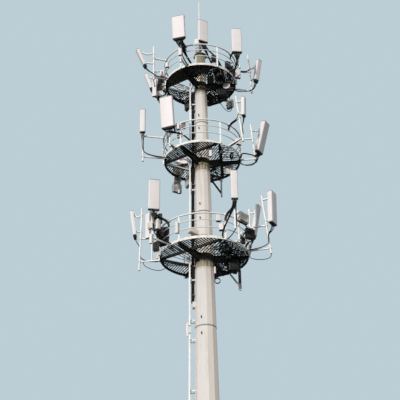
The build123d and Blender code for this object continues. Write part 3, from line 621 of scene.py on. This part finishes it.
def pipe_point(level, mount, height):
    """Point on a mount pipe's axis: its foot in plan, and up along its inward lean to the height."""
    angle, reach, lean = mounts[level][mount][:3]
    rise = plan(angle, -lean, 1.0)
    return plan(angle, ring_radius[level] + reach, deck_height[level]) + rise * height


def knee(level):
    """Ends of the brace of a level's hanging mount: under the ring beside it, and low on its pipe."""
    mount = hanging_mount[level]
    angle, foot = mounts[level][mount][0], mounts[level][mount][3]
    under = plan(angle + 11, ring_radius[level] - 0.005, deck_height[level] - 0.125)
    return under, pipe_point(level, mount, foot + 0.15)


def held_place(level, item):
    """Foot of a housing's back, and its axes: across it, to its front, and up its back."""
    mount, facing, tilt, size, bottom, reach = item
    front = heading(facing)
    up = front * np.sin(np.radians(tilt)) + [0, 0, np.cos(np.radians(tilt))]
    back = pipe_point(level, mount, bottom + size[2] * bracket_inset) + front * reach
    aside = heading(facing - 90)
    return back - up * size[2] * bracket_inset, np.array([aside, np.cross(up, aside), up])


def placed(rings, origin, axes):
    """Points given across, forwards and up from a housing's foot, moved to where it hangs."""
    return rings @ axes + origin


def clamp(kind, centre, away, sideways):
    """Lofts of a clamp: plates square to the direction away, and pins that run along it."""
    plates, thickness, width, height, pins, (start, end), pin_radius = clamps[kind]
    middles, half = centre + np.outer(plates, away), away * thickness / 2
    feet = np.array([centre + sideways * side + [0, 0, up] for side, up in pins])
    return [bars(middles - half, middles + half, width, height),
            rods(feet + away * start, feet + away * end, pin_radius, 6)]


for level in levels:
    deck, radius, line = deck_height[level], ring_radius[level], rail_line[level]
    parts = []
    for number, (angle, reach, _, foot, head) in enumerate(mounts[level]):
        low, high = pipe_point(level, number, foot), pipe_point(level, number, head)
        plug = plug_length * unit(high - low)
        parts += [rods(low, high, pipe_radius, 20),
                  rods([low, high - plug], [low + plug, high], pipe_radius + 0.002, 20)]
        away, sideways = heading(angle), heading(angle + 90)
        arms = (("ring", ring_arm_height, radius, 0.001), ("rail", rail_height, line, 0.03))
        for kind, up, seat, gap in arms:
            if foot < up < head and reach > 0:
                hub = pipe_point(level, number, up)
                parts.append(bars(plan(angle, seat + gap, deck + up), hub, 0.05, 0.05))
                parts += clamp("pipe", hub, away, sideways)
                parts += clamp(kind, plan(angle, seat, deck + up), away, sideways)
    if level == "lower":
        short_pipe = [plan(mounts[level][0][0], 2.11, deck + up) for up in (-0.03, 0.74)]
        parts.append(rods(*short_pipe, 0.028, 16))
    if level in hanging_mount:
        parts.append(bars(*knee(level), 0.03, 0.03))
    for item in antennas[level] + radios[level]:
        origin, (sideways, front, up) = held_place(level, item)
        mount, tilt, (width, _, height) = item[0], item[2], item[3]
        for share in (bracket_inset, 1 - bracket_inset):
            far = origin + up * height * share
            near = pipe_point(level, mount, far[2] - deck)
            away = unit(far - near)
            fold = 0.1 if share > 0.5 and tilt > 4 else 0.0
            elbow, hinge = (near + far) / 2 - [0, 0, fold], far - front * 0.03
            for shift in (-link_half_gap * sideways, link_half_gap * sideways):
                link = np.array([near, elbow, far]) + shift
                parts.append(bars(link[:-1], link[1:], 0.008, 0.05))
            parts += clamp("bracket", near, away, sideways)
            parts += [rods(elbow - sideways * 0.04, elbow + sideways * 0.04, 0.009, 6),
                      rods(hinge - sideways * 0.045, hinge + sideways * 0.045, 0.008, 6),
                      bars(far - front * 0.008, far, min(0.16, width * 0.6), 0.06)]
    made(f"{level}_stand_offs", parts, bright_zinc, [f"{level}_mount_frames"])


# Panel antennas: a glass-fibre radome, round at the front, over an aluminium tray, with a moulded
# cap at each end. Cable connectors stand out of the lower cap.
radome = weathered(
    "off_white_radome", (0.8, 0.75, 0.75), (0.74, 0.685, 0.685), (0.05, 0.045, 0.04), 0.45, grain=1.5,
)
cap_grey = weathered("grey_end_cap", (0.42, 0.41, 0.4), (0.34, 0.33, 0.32), (0.02, 0.018, 0.016), 0.55)
tray = weathered("aluminium_tray", (0.78, 0.76, 0.74), (0.68, 0.66, 0.64), (0.08, 0.08, 0.08), 0.5)
radome_corner = 0.045
cap_height = 0.03
tray_share = 0.28
connector_steps = ((-0.03, 0.0, 0.016), (-0.055, -0.03, 0.012))
boot_depth = {"narrow": 0.13, "wide": 0.075}


def rounded(width, back, front, corner, steps=6):
    """Outline of a housing from above: square at the back, with two quarter circles in front."""
    turn = np.linspace(0, np.pi / 2, steps)
    bend = corner * np.stack([np.cos(turn), np.sin(turn)], axis=1)
    right = bend + [width / 2 - corner, front - corner]
    left = right[::-1] * [-1, 1]
    return np.concatenate([[[-width / 2, back], [width / 2, back]], right, left])


def risen(outline, heights, inset=(0.0, 0.0)):
    """An outline carried up through the heights, drawn in towards its middle by each inset."""
    heights, inset = np.array(heights, float), np.array(inset, float)
    middle = (outline.max(0) + outline.min(0)) / 2
    half = (outline.max(0) - outline.min(0)) / 2
    shrunk = middle + (outline - middle) * (1 - inset[:, None, None] / half)
    up = np.broadcast_to(heights[:, None, None], (*shrunk.shape[:2], 1))
    return np.concatenate([shrunk, up], axis=2)[None]


def eased(outline, low, high, bevel, inset, waist=0.0):
    """An outline from low to high, drawn in by the waist, and by the inset at its very ends."""
    return risen(outline, [low, low + bevel, high - bevel, high], [inset, waist, waist, inset])


for level in levels:
    domes, caps, trays, plugs = [], [], [], []
    for item in antennas[level]:
        spot = held_place(level, item)
        width, depth, height = item[3]
        corner = min(radome_corner, depth * 0.4)
        shell = rounded(width, depth * tray_share, depth, corner)
        domes.append(placed(eased(shell, cap_height, height - cap_height, 0.002, 0.003), *spot))
        whole = rounded(width, 0.0, depth, corner)
        for low, high in ((0.0, cap_height), (height - cap_height, height)):
            caps.append(placed(eased(whole, low, high, 0.006, 0.006, 0.001), *spot))
        back = rounded(width * 0.94, 0.004, depth * tray_share, 0.004, 2)
        trays.append(placed(risen(back, [cap_height, height - cap_height]), *spot))
        rib = rounded(0.012, 0.0, 0.02, 0.001, 2)
        for side in (-0.3, 0.3):
            trays.append(placed(risen(rib + [width * side, 0.0], [0.04, height - 0.04]), *spot))
        seats = [[width * s, depth * t, 0.0] for s in (-0.3, -0.1, 0.1, 0.3) for t in (0.33, 0.67)]
        for low, high, thickness in connector_steps:
            ends = [placed(np.array(seats) + [0, 0, up], *spot) for up in (low, high)]
            plugs.append(rods(*ends, thickness, 10))
        if item[2] > 5:
            boot = rounded(width * 0.8, depth * 0.1, depth * 0.88, 0.02, 3)
            drop = boot_depth["narrow" if width < 0.4 else "wide"]
            plugs.append(placed(risen(boot, [-drop, 0.02 - drop, -0.001], [0.03, 0.0, 0.0]), *spot))
    made(f"{level}_radomes", domes, radome, [f"{level}_antennas"])
    made(f"{level}_end_caps", caps, cap_grey)
    made(f"{level}_antenna_trays", trays, tray)
    made(f"{level}_connectors", plugs, jacket)


# Splice sheath: a pale weatherproof sleeve round a cable joint, tied on the ladder's front stile
# where it stands out from the line of the ladder.
sheath_seat = np.array([-0.688, -0.205, 16.2])
sheath_axes = np.diag([-1.0, -1.0, 1.0])
sheath_heights = [0.0, 0.09, 0.2, 0.38, 0.5, 0.58]
sheath_insets = [0.03, 0.01, 0.0, 0.0, 0.012, 0.035]
sheath = risen(rounded(0.13, -0.05, 0.05, 0.04), sheath_heights, sheath_insets)
tie_feet = sheath_seat + [[0, 0, 0.14], [0, 0, 0.44]]
ties = bars(tie_feet, tie_feet + [0.1, 0, 0], 0.135, 0.012)
made("ladder_splice_sheath", [placed(sheath, sheath_seat, sheath_axes), ties], radome)


# Radio units: cast aluminium boxes with upright cooling fins on the front and cable glands under
# them. Some are coloured pale as painted light, some grey, and those on the arms of two decks are
# coloured dark as painted shade.
housing_grey = weathered(
    "grey_radio_casting", (0.62, 0.61, 0.58), (0.5, 0.49, 0.46), (0.012, 0.01, 0.009), 0.6,
)
painted_light_casting = weathered(
    "painted_light_radio_casting", (0.95, 0.92, 0.86), (0.8, 0.77, 0.71), (0.05, 0.045, 0.04), 0.6,
)
dark_and_shaded_box = weathered(
    "dark_and_shaded_splice_box", (0.12, 0.115, 0.11), (0.05, 0.048, 0.045), (0.006, 0.005, 0.005), 0.6, shine=0.1,
)
# Each unit on an arm: the arm's turn from the frame, the distance from the axis, and its side.
arm_units = {
    "lower": [(0, 1.25, 1), (0, 1.15, -1), (120, 1.0, -1)],
    "middle": [(0, 1.1, 1), (120, 1.15, 1), (120, 0.85, -1)],
    "top": [(0, 1.0, 1), (0, 0.95, -1), (120, 1.1, 1)],
}
arm_unit_size = (0.34, 0.15, 0.43)
arm_unit_top = -0.2503
arm_unit_seat = 0.0603
fin_pitch, fin_thickness, fin_margin = 0.024, 0.006, 0.025
gland_length, gland_radius = 0.04, 0.013


def case(width, depth, height, corner=0.01, bevel=0.004, steps=3):
    """A closed box with its front corners rounded and its upper and lower edges bevelled."""
    return eased(rounded(width, 0.0, depth, corner, steps), 0.0, height, bevel, bevel)


def finned(width, depth, height):
    """Lofts of one radio unit: its body, and its fins from inside the body to near the front."""
    count = int(width / fin_pitch)
    places = np.linspace(-0.5, 0.5, count) * (width - 2 * fin_margin)
    middle = depth * 0.775
    foot = np.stack([places, 0 * places + middle, 0 * places + fin_margin], axis=1)
    fins = bars(foot, foot + [0, 0, height - 2 * fin_margin], fin_thickness, fin_thickness)
    fins[..., 1] = np.where(fins[..., 1] > middle, depth - 0.008, depth * 0.54)
    return [case(width, depth * 0.55, height), fins]


for level in levels:
    castings, arm_castings, glands = [], [], []
    spots = [(castings, *held_place(level, item), item[3]) for item in radios[level]]
    for turn, distance, side in arm_units[level]:
        away, sideways = heading(frame_turn + turn), side * heading(frame_turn + turn + 90)
        foot = deck_height[level] + arm_unit_top - arm_unit_size[2]
        origin = away * distance + sideways * arm_unit_seat + [0, 0, foot]
        axes = np.array([-away * side, sideways, [0, 0, 1.0]])
        spots.append((arm_castings, origin, axes, arm_unit_size))
    for group, origin, axes, size in spots:
        group += [placed(loft, origin, axes) for loft in finned(*size)]
        seats = np.array([[size[0] * s, size[1] * 0.3, 0.0] for s in (-0.35, -0.2, -0.05, 0.1, 0.25)])
        ends = [placed(seats - [0, 0, drop], origin, axes) for drop in (gland_length, 0.0)]
        glands.append(rods(*ends, gland_radius, 8))
    # Painted light and shade: the lower deck's radio castings are coloured pale where their faces are
    # turned from the sun, and the castings on the arms of the lower and top decks dark.
    made(f"{level}_radio_castings", castings, painted_light_casting if level == "lower" else housing_grey,
         [f"{level}_radio_units"])
    made(f"{level}_arm_castings", arm_castings, housing_grey if level == "middle" else dark_and_shaded_box)
    made(f"{level}_glands", glands, jacket)


# Antenna cables: thin black jumpers from each antenna's connectors, bundled down its pipe and in
# to the ring, held by ties. From there they run under the deck to the feeders on the pole.
jumper_radius = 0.0115
jumper_drop = 0.17
jumper_slack = 0.4
connector_drop = 0.0603
beside_pipe = 0.09
other_side = [("lower", 1), ("lower", 4), ("top", 3), ("top", 5), ("top", 6)]
cap_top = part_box("pole_cap")[1].z


def plug_place(level, item):
    """Middle of an antenna's connectors, below the middle of its depth, and the antenna's axes."""
    origin, axes = held_place(level, item)
    return origin + axes[1] * item[3][1] / 2 - axes[2] * connector_drop, axes


def jumper_route(level, item, hand):
    """Route points of an antenna's cables: down beside the pipe, then in to the ring or under it."""
    deck, radius = deck_height[level], ring_radius[level]
    angle = mounts[level][item[0]][0]
    start, axes = plug_place(level, item)
    drop = start - axes[2] * jumper_drop
    beside = plan(angle + 90 * hand, beside_pipe, 0.0)
    slack = start[2] - deck - jumper_slack
    upper = pipe_point(level, item[0], slack) + beside
    if item[0] < 0:
        return [start, drop, upper, beside + [0, 0, cap_top]]
    if slack > 0.03:
        corner = pipe_point(level, item[0], ring_arm_height) + beside
        return [start, drop, upper, corner, plan(angle, radius, corner[2]) + beside]
    end = plan(angle, radius - 0.005, deck - 0.11) + beside
    return [start, drop, upper, end - [0, 0, jumper_drop], end]


def strung(name, routes, thickness, replaced=()):
    """Cables as one curve: each route is a smooth spline of the third order, with its ends held."""
    data = bpy.data.curves.new(name, "CURVE")
    data.dimensions = "3D"
    data.bevel_depth = thickness
    data.bevel_resolution = 2
    data.resolution_u = 6
    data.use_fill_caps = True
    for route in routes:
        spline = data.splines.new("NURBS")
        spline.points.add(len(route) - 1)
        spline.points.foreach_set("co", np.column_stack([route, np.ones(len(route))]).reshape(-1))
        spline.order_u = 3
        spline.use_endpoint_u = True
    return fixed(name, data, jacket, replaced)


for level in levels:
    routes = []
    for number, item in enumerate(antennas[level]):
        angle = mounts[level][item[0]][0]
        past_post = (angle - frame_turn + 30) % 60 > 30
        hand = 1 if past_post != ((level, number) in other_side) else -1
        sideways = held_place(level, item)[1][0]
        route = jumper_route(level, item, hand)
        for spread, rise in ((-0.3, -0.008), (-0.1, 0.008), (0.1, -0.008), (0.3, 0.008)):
            bundle = plan(angle + 90, spread * 0.05, rise)
            own = [point + bundle for point in route]
            own[0] = route[0] + sideways * spread * item[3][0]
            own[1] = route[1] + sideways * spread * item[3][0] * 0.5
            if spread > 0:
                own[2] = own[2] + sideways * 0.05
            routes.append(own)
    strung(f"{level}_jumpers", routes, jumper_radius, [f"{level}_jumper_cables"])


# Cables tied under the decks: loose bundles from the ring in to the pole and round its back to
# the ladder side, and bundles taped along the arms that hold the antennas.
tied_radius = 0.013
parting_turn = 260
ladder_sides = (168.0, 192.0)
taped_mounts = {"lower": [1, 2], "middle": [1, 2], "top": [1, 2, 3]}
taped_places = ((-0.03, 0.03), (0.03, 0.03), (0.0, 0.045), (-0.035, 0.0), (0.035, 0.0))
taped_end = np.array([0, 0, 0.25])
wound_counts = {"lower": (7, 3), "middle": (0, 7)}


def routed(deck, *stops):
    """A cable's route from one stop to the next: each is a plan angle, radius and drop from the deck."""
    return np.array([plan(angle, radius, deck - drop) for angle, radius, drop in stops])


for level in levels:
    deck, radius = deck_height[level], ring_radius[level]
    clear = pole_hole[level] + 0.05
    routes = []
    for mount in mounts[level]:
        turn = mount[0] % 360
        ahead = ladder_sides[1 if ladder_sides[1] < turn < parting_turn else 0]
        inward = turn if turn < parting_turn else turn - 360
        for k in range(3 if mount[1] > 0 else 0):
            bend = (k - 1) * 7.0
            routes.append(routed(
                deck,
                (inward + bend * 0.3, radius - 0.02, 0.09),
                (inward + bend, radius * 0.86, 0.2 + 0.03 * k),
                (inward + bend * 1.5, radius * 0.62, 0.24 + 0.04 * k),
                (inward * 0.8 + ahead * 0.2 + bend, clear + 0.1, 0.34),
                ((inward + ahead) / 2, clear + 0.06 + 0.02 * k, 0.36 + 0.02 * k),
                (ahead, clear + 0.06, 0.38 + 0.03 * k),
                (ahead, clear + 0.04, 0.8 + 0.1 * k),
            ))
    for number in taped_mounts[level]:
        angle = mounts[level][number][0]
        hub = pipe_point(level, number, rail_height)
        inner = plan(angle, rail_line[level], deck + rail_height)
        line = np.array([hub + taped_end, hub, inner, inner - taped_end])
        routes += [line + plan(angle + 90, side, -drop) for side, drop in taped_places]
    if level != "lower":
        ends = across(frame_turn, *np.array([[radius / 2], [-1.25], [1.25]]), deck - 0.125)
        line = np.linspace(ends[0][0], ends[1][0], 3)
        routes += [line + plan(frame_turn, 0.026 * (k % 5 - 2), -0.024 * (k // 5)) for k in range(10)]
    if level in hanging_mount:
        number = hanging_mount[level]
        pipe = [pipe_point(level, number, up) for up in (-0.09, mounts[level][number][3] + 0.03)]
        for ends, count, out in zip((pipe, knee(level)), wound_counts[level], (0.048, 0.026)):
            line = np.linspace(*ends, 3)
            routes += [line + plan(51 * k, out, 0.02 * np.cos(2.3 * k)) for k in range(count)]
    strung(f"{level}_tied_cables", routes, tied_radius)


# Hanging bundles: thick bunches of jumpers that drop from the large antennas on to the decks.
# Each has its antenna, the plan angle, radius and height of its middle, the same of its end, and
# the number of cables.
bundles = {
    "lower": [(2, (-66, 2.02, 0.35), (-66, 1.76, -0.05), 7), (4, (-22, 2.05, 0.72), (-33, 1.76, 0.2), 9),
              (4, (-14, 1.95, 0.4), (-20, 1.74, -0.05), 6), (1, (-150, 2.1, 0.7), (-158, 1.84, 0.1), 7)],
    "middle": [(1, (-118, 1.6, 0.45), (-110, 0.7, -0.05), 8), (3, (-8, 2.0, 0.1), (-10, 1.64, -0.08), 7)],
    "top": [(1, (-112, 1.45, 0.45), (-106, 0.62, -0.04), 12), (6, (-25, 0.9, 1.1), (-8, 1.05, -0.04), 14),
            (6, (-50, 0.7, 0.9), (-30, 0.75, -0.04), 8), (2, (-30, 1.85, 0.45), (-22, 1.56, -0.05), 9)],
}
bundle_spread = 0.012
bundle_radius = 0.0125
for level in levels:
    routes = []
    for number, middle, end, count in bundles[level]:
        start, (sideways, _, up) = plug_place(level, antennas[level][number])
        width = antennas[level][number][3][0]
        middle, end = [plan(*place[:2], deck_height[level] + place[2]) for place in (middle, end)]
        for k in range(count):
            swing = np.array([np.cos(2.4 * k), np.sin(2.4 * k), 0.3 * np.cos(1.7 * k)])
            swing = swing * bundle_spread * np.sqrt(k)
            aside = sideways * width * ((k + 0.5) / count - 0.5)
            head = [start + aside * 0.7, start + aside * 0.5 - up * 0.15]
            routes.append([*head, middle + swing, end + swing + [0, 0, 0.25], end + swing])
    strung(f"{level}_bundles", routes, bundle_radius)


# Spare lengths: loose runs and coils of cable, tied up under the side of each deck away from the
# ladder, with small splice boxes between them. The middle deck has few.
cable_spread = np.random.default_rng(4)
run_count = {"lower": 68, "middle": 7, "top": 104}
coil_count = {"lower": 14, "middle": 2, "top": 14}
run_turns = {"lower": (-64, 66), "middle": (-60, 60), "top": (-115, 150)}
# Each splice box: plan angle, share of the ring's radius, width and height.
splice_boxes = [
    (-50, 0.8, 0.16, 0.24), (-28, 0.6, 0.2, 0.3), (-18, 0.88, 0.14, 0.2), (14, 0.7, 0.22, 0.3),
    (34, 0.84, 0.18, 0.26), (52, 0.6, 0.2, 0.28), (70, 0.8, 0.16, 0.24),
]


def coil(centre, angle, size, turns, steps, pitch, wave=0.0):
    """A coil in an upright plane: the size times the sine along the angle and the cosine upwards.

    It moves square to the plane by the pitch for each radian, and the wave varies its size."""
    turn = np.linspace(0, 2 * np.pi * turns, steps)
    size = size * (1 + wave * np.sin(turn * 1.7))
    points = np.stack([size * np.sin(turn), size * np.cos(turn), pitch * turn], axis=1)
    up = np.array([0, 0, 1.0])
    return placed(points, centre, np.array([heading(angle), up, np.cross(heading(angle), up)]))


def upright(facing):
    """Axes of a housing that stands upright: across it, to its front, and up."""
    return np.array([heading(facing - 90), heading(facing), [0, 0, 1.0]])


for level in levels:
    deck, radius = deck_height[level], ring_radius[level]
    routes = []
    for k in range(run_count[level]):
        first = cable_spread.uniform(*run_turns[level])
        last = first + cable_spread.uniform(-45, 45)
        drop = cable_spread.uniform(0.1, 0.26)
        near, far = cable_spread.uniform(0.45, 0.7), cable_spread.uniform(0.8, 0.95)
        routes.append(routed(
            deck,
            (first, radius * far, 0.06),
            (first, radius * far * 0.97, drop),
            ((first + last) / 2, radius * 0.78, drop + 0.05),
            (last, radius * near, drop),
            (last, radius * near * 0.95, 0.06),
        ))
    for k in range(coil_count[level]):
        angle, out = cable_spread.uniform(*run_turns[level]), cable_spread.uniform(0.5, 0.88)
        size = cable_spread.uniform(0.08, 0.14)
        centre = plan(angle, radius * out, deck - 0.07 - size)
        routes.append(coil(centre, cable_spread.uniform(0, 180), size, 3.4, 42, 0.003, 0.12))
    if level == "lower":
        ring = coil([0.5, 0.12, deck - 1.02], 0.0, 0.11, 2.6, 34, -0.004)
        routes.append(np.concatenate([routed(deck, (14, 0.6, 0.1), (14, 0.54, 0.6)), ring]))
    strung(f"{level}_spare_cables", routes, tied_radius)
    boxes = []
    for angle, out, width, height in splice_boxes[::3 if level == "middle" else 1]:
        foot = plan(angle, radius * out, deck - 0.1 - height)
        boxes.append(placed(case(width, width * 0.6, height), foot, upright(angle * 3)))
    # The splice boxes are dark, partly in their own colour and partly as painted shade under the deck.
    made(f"{level}_splice_boxes", boxes, dark_and_shaded_box)


# Small equipment at the rails: pale filter boxes and small finned radios clamped to posts, pipes
# and rails. Each has its plan angle, radius, facing, size, and foot above the deck.
filter_boxes = {
    "lower": [
        (-145, 2.6, -120, (0.19, 0.11, 1.08), 0.02), (-139, 2.66, -120, (0.12, 0.08, 0.42), -0.33),
        (-123.5, 1.86, -123, (0.13, 0.07, 0.5), 0.2), (-71, 1.72, -80, (0.18, 0.15, 0.28), 0.62),
        (-66, 1.7, -100, (0.19, 0.16, 0.27), 0.26), (-170, 1.84, -150, (0.09, 0.06, 0.36), -0.25),
        (-163, 1.84, -120, (0.11, 0.06, 0.16), 0.42), (194, 0.66, -100, (0.1, 0.07, 0.26), -0.42),
        (-15, 0.4, -15, (0.09, 0.06, 0.3), -0.84),
    ],
    "middle": [
        (122, 1.45, -100, (0.36, 0.2, 0.42), 0.52), (-71, 1.1, -110, (0.13, 0.08, 0.42), -0.5),
        (31, 0.6, -90, (0.17, 0.1, 0.22), -0.3), (-28, 1.68, -60, (0.22, 0.12, 0.3), 0.2),
        (-124, 1.72, -110, (0.13, 0.09, 0.3), 0.6),
    ],
    "top": [
        (-121, 0.23, -100, (0.22, 0.14, 0.27), 2.02), (-7, 1.62, -75, (0.26, 0.14, 0.38), 0.1),
        (-174, 2.0, -110, (0.19, 0.11, 0.9), -0.8), (-113, 2.12, -110, (0.14, 0.09, 0.34), 0.05),
        (-150, 1.64, -120, (0.14, 0.1, 0.26), 0.3), (176, 1.68, -100, (0.2, 0.1, 0.3), 0.5),
    ],
}
small_radios = {
    "lower": [
        (-160, 1.88, -130, (0.34, 0.16, 0.44), 1.1), (-158, 1.86, -110, (0.28, 0.14, 0.42), 0.5),
        (-168, 1.9, -130, (0.26, 0.14, 0.4), 0.05), (-19, 1.88, -60, (0.38, 0.18, 0.46), 0.36),
        (-27, 1.66, -80, (0.26, 0.14, 0.3), 0.1), (-171, 1.6, -100, (0.42, 0.18, 0.5), 0.66),
        (-162, 1.62, -115, (0.36, 0.16, 0.4), 0.22),
    ],
    "middle": [
        (126, 1.7, -95, (0.24, 0.14, 0.4), 0.08), (133, 1.74, -85, (0.24, 0.14, 0.4), 0.05),
        (130, 1.7, -90, (0.3, 0.15, 0.36), -0.36), (-121, 1.5, -90, (0.22, 0.12, 0.34), 0.72),
        (-126, 1.52, -120, (0.2, 0.12, 0.3), 0.32),
    ],
    "top": [
        (-17, 1.36, -80, (0.3, 0.16, 0.58), 0.06), (-25, 1.3, -60, (0.24, 0.14, 0.36), 0.4),
        (178, 1.72, -120, (0.26, 0.14, 0.36), 0.12), (-176, 1.8, -100, (0.22, 0.12, 0.34), -0.4),
        (60, 0.9, -90, (0.3, 0.16, 0.4), 0.6), (20, 0.8, -80, (0.26, 0.14, 0.36), 0.9),
        (-10, 0.62, -90, (0.24, 0.14, 0.36), 1.1),
    ],
}
# Each drum: plan angle, radius, facing, its own radius, depth, and middle above the deck.
drums = {
    "lower": [(-31, 1.74, -100, 0.085, 0.1, 0.45)],
    "middle": [],
    "top": [(-13, 1.16, -100, 0.155, 0.11, -0.36)],
}


def nearest_steel(level, spine, out):
    """The steel nearest to a housing: a rail, the ring, the deck's underside or a mount's pipe."""
    deck, ring = deck_height[level], ring_radius[level]
    turn = np.degrees(np.arctan2(spine[1], spine[0]))
    holds = [plan(turn, rail_line[level], deck + up) for up in rail_thickness]
    holds += [plan(turn, ring - 0.01, deck - 0.05), plan(turn, min(out, ring), deck - 0.11)]
    for number, mount in enumerate(mounts[level]):
        height = np.clip(spine[2] - deck, mount[3] + 0.02, mount[4] - 0.02)
        holds.append(pipe_point(level, number, height))
    return min(holds, key=lambda place: np.linalg.norm(place - spine))


for level in levels:
    deck = deck_height[level]
    boxes, castings, straps = [], [], []
    for item in filter_boxes[level] + small_radios[level]:
        angle, out, facing, size, foot = item
        origin, axes = plan(angle, out, deck + foot), upright(facing)
        spine = origin + axes[1] * 0.01 + [0, 0, size[2] / 2]
        if out > 0.5 or foot > 0:
            straps.append(bars(nearest_steel(level, spine, out), spine, 0.03, 0.04))
        if item in small_radios[level]:
            castings += [placed(loft, origin, axes) for loft in finned(*size)]
        else:
            boxes.append(placed(case(*size, corner=0.02, bevel=0.006, steps=4), origin, axes))
    for angle, out, facing, drum_radius, depth, up in drums[level]:
        back, front = plan(angle, out, deck + up), heading(facing)
        boxes.append(rods(back, back + front * depth, drum_radius, 40))
        boxes.append(rods(back - front * 0.08, back, drum_radius * 0.45, 24))
    made(f"{level}_box_straps", straps, steelwork)
    made(f"{level}_filter_boxes", boxes, radome)
    # Painted shade: the small radios of the lower and top decks are coloured dark, those of the middle
    # deck grey.
    made(f"{level}_small_radios", castings, housing_grey if level == "middle" else dark_and_shaded_box)


# Free cables: four slack black cables under the decks, tied at both ends. Each hangs in a bow of
# its own weight between the steel that holds it.
free_cables = {
    "lower_left_cable": (1.364, [
        (-2.437, 0.256, 19.6197), (-2.437, 0.256, 19.51), (-2.29, 0.258, 19.38), (-2.06, 0.26, 19.275),
        (-1.82, 0.262, 19.225), (-1.6, 0.263, 19.28), (-1.453, 0.264, 19.43), (-1.453, 0.264, 19.5897),
    ]),
    "lower_right_cable": (1.276, [
        (1.69, -0.469, 19.5897), (1.69, -0.469, 19.465), (1.765, -0.489, 19.355), (1.925, -0.529, 19.26),
        (2.13, -0.58, 19.205), (2.335, -0.631, 19.19), (2.5, -0.672, 19.205), (2.608, -0.699, 19.28),
        (2.608, -0.699, 19.398),
    ]),
    "middle_right_cable": (1.018, [
        (1.581, -0.214, 24.0897), (1.581, -0.214, 23.965), (1.65, -0.205, 23.86), (1.79, -0.183, 23.8),
        (1.96, -0.157, 23.795), (2.11, -0.134, 23.85), (2.224, -0.117, 23.97), (2.224, -0.117, 24.1086),
    ]),
    "top_cable_loop": (1.632, [
        (0.83, 0.95, 28.0597), (0.83, 0.95, 27.91), (0.9, 0.94, 27.75), (0.985, 0.935, 27.59),
        (1.095, 0.95, 27.44), (1.215, 0.98, 27.365), (1.325, 1.0, 27.425), (1.38, 1.0, 27.57),
        (1.37, 0.95, 27.745), (1.284, 0.833, 27.89), (1.284, 0.833, 28.0597),
    ]),
}
free_radius = 0.014
for name, (length, route) in free_cables.items():
    cable = strung(f"slack_{name}", [route], free_radius, [name])


bpy.context.scene.view_settings.view_transform = "Standard"
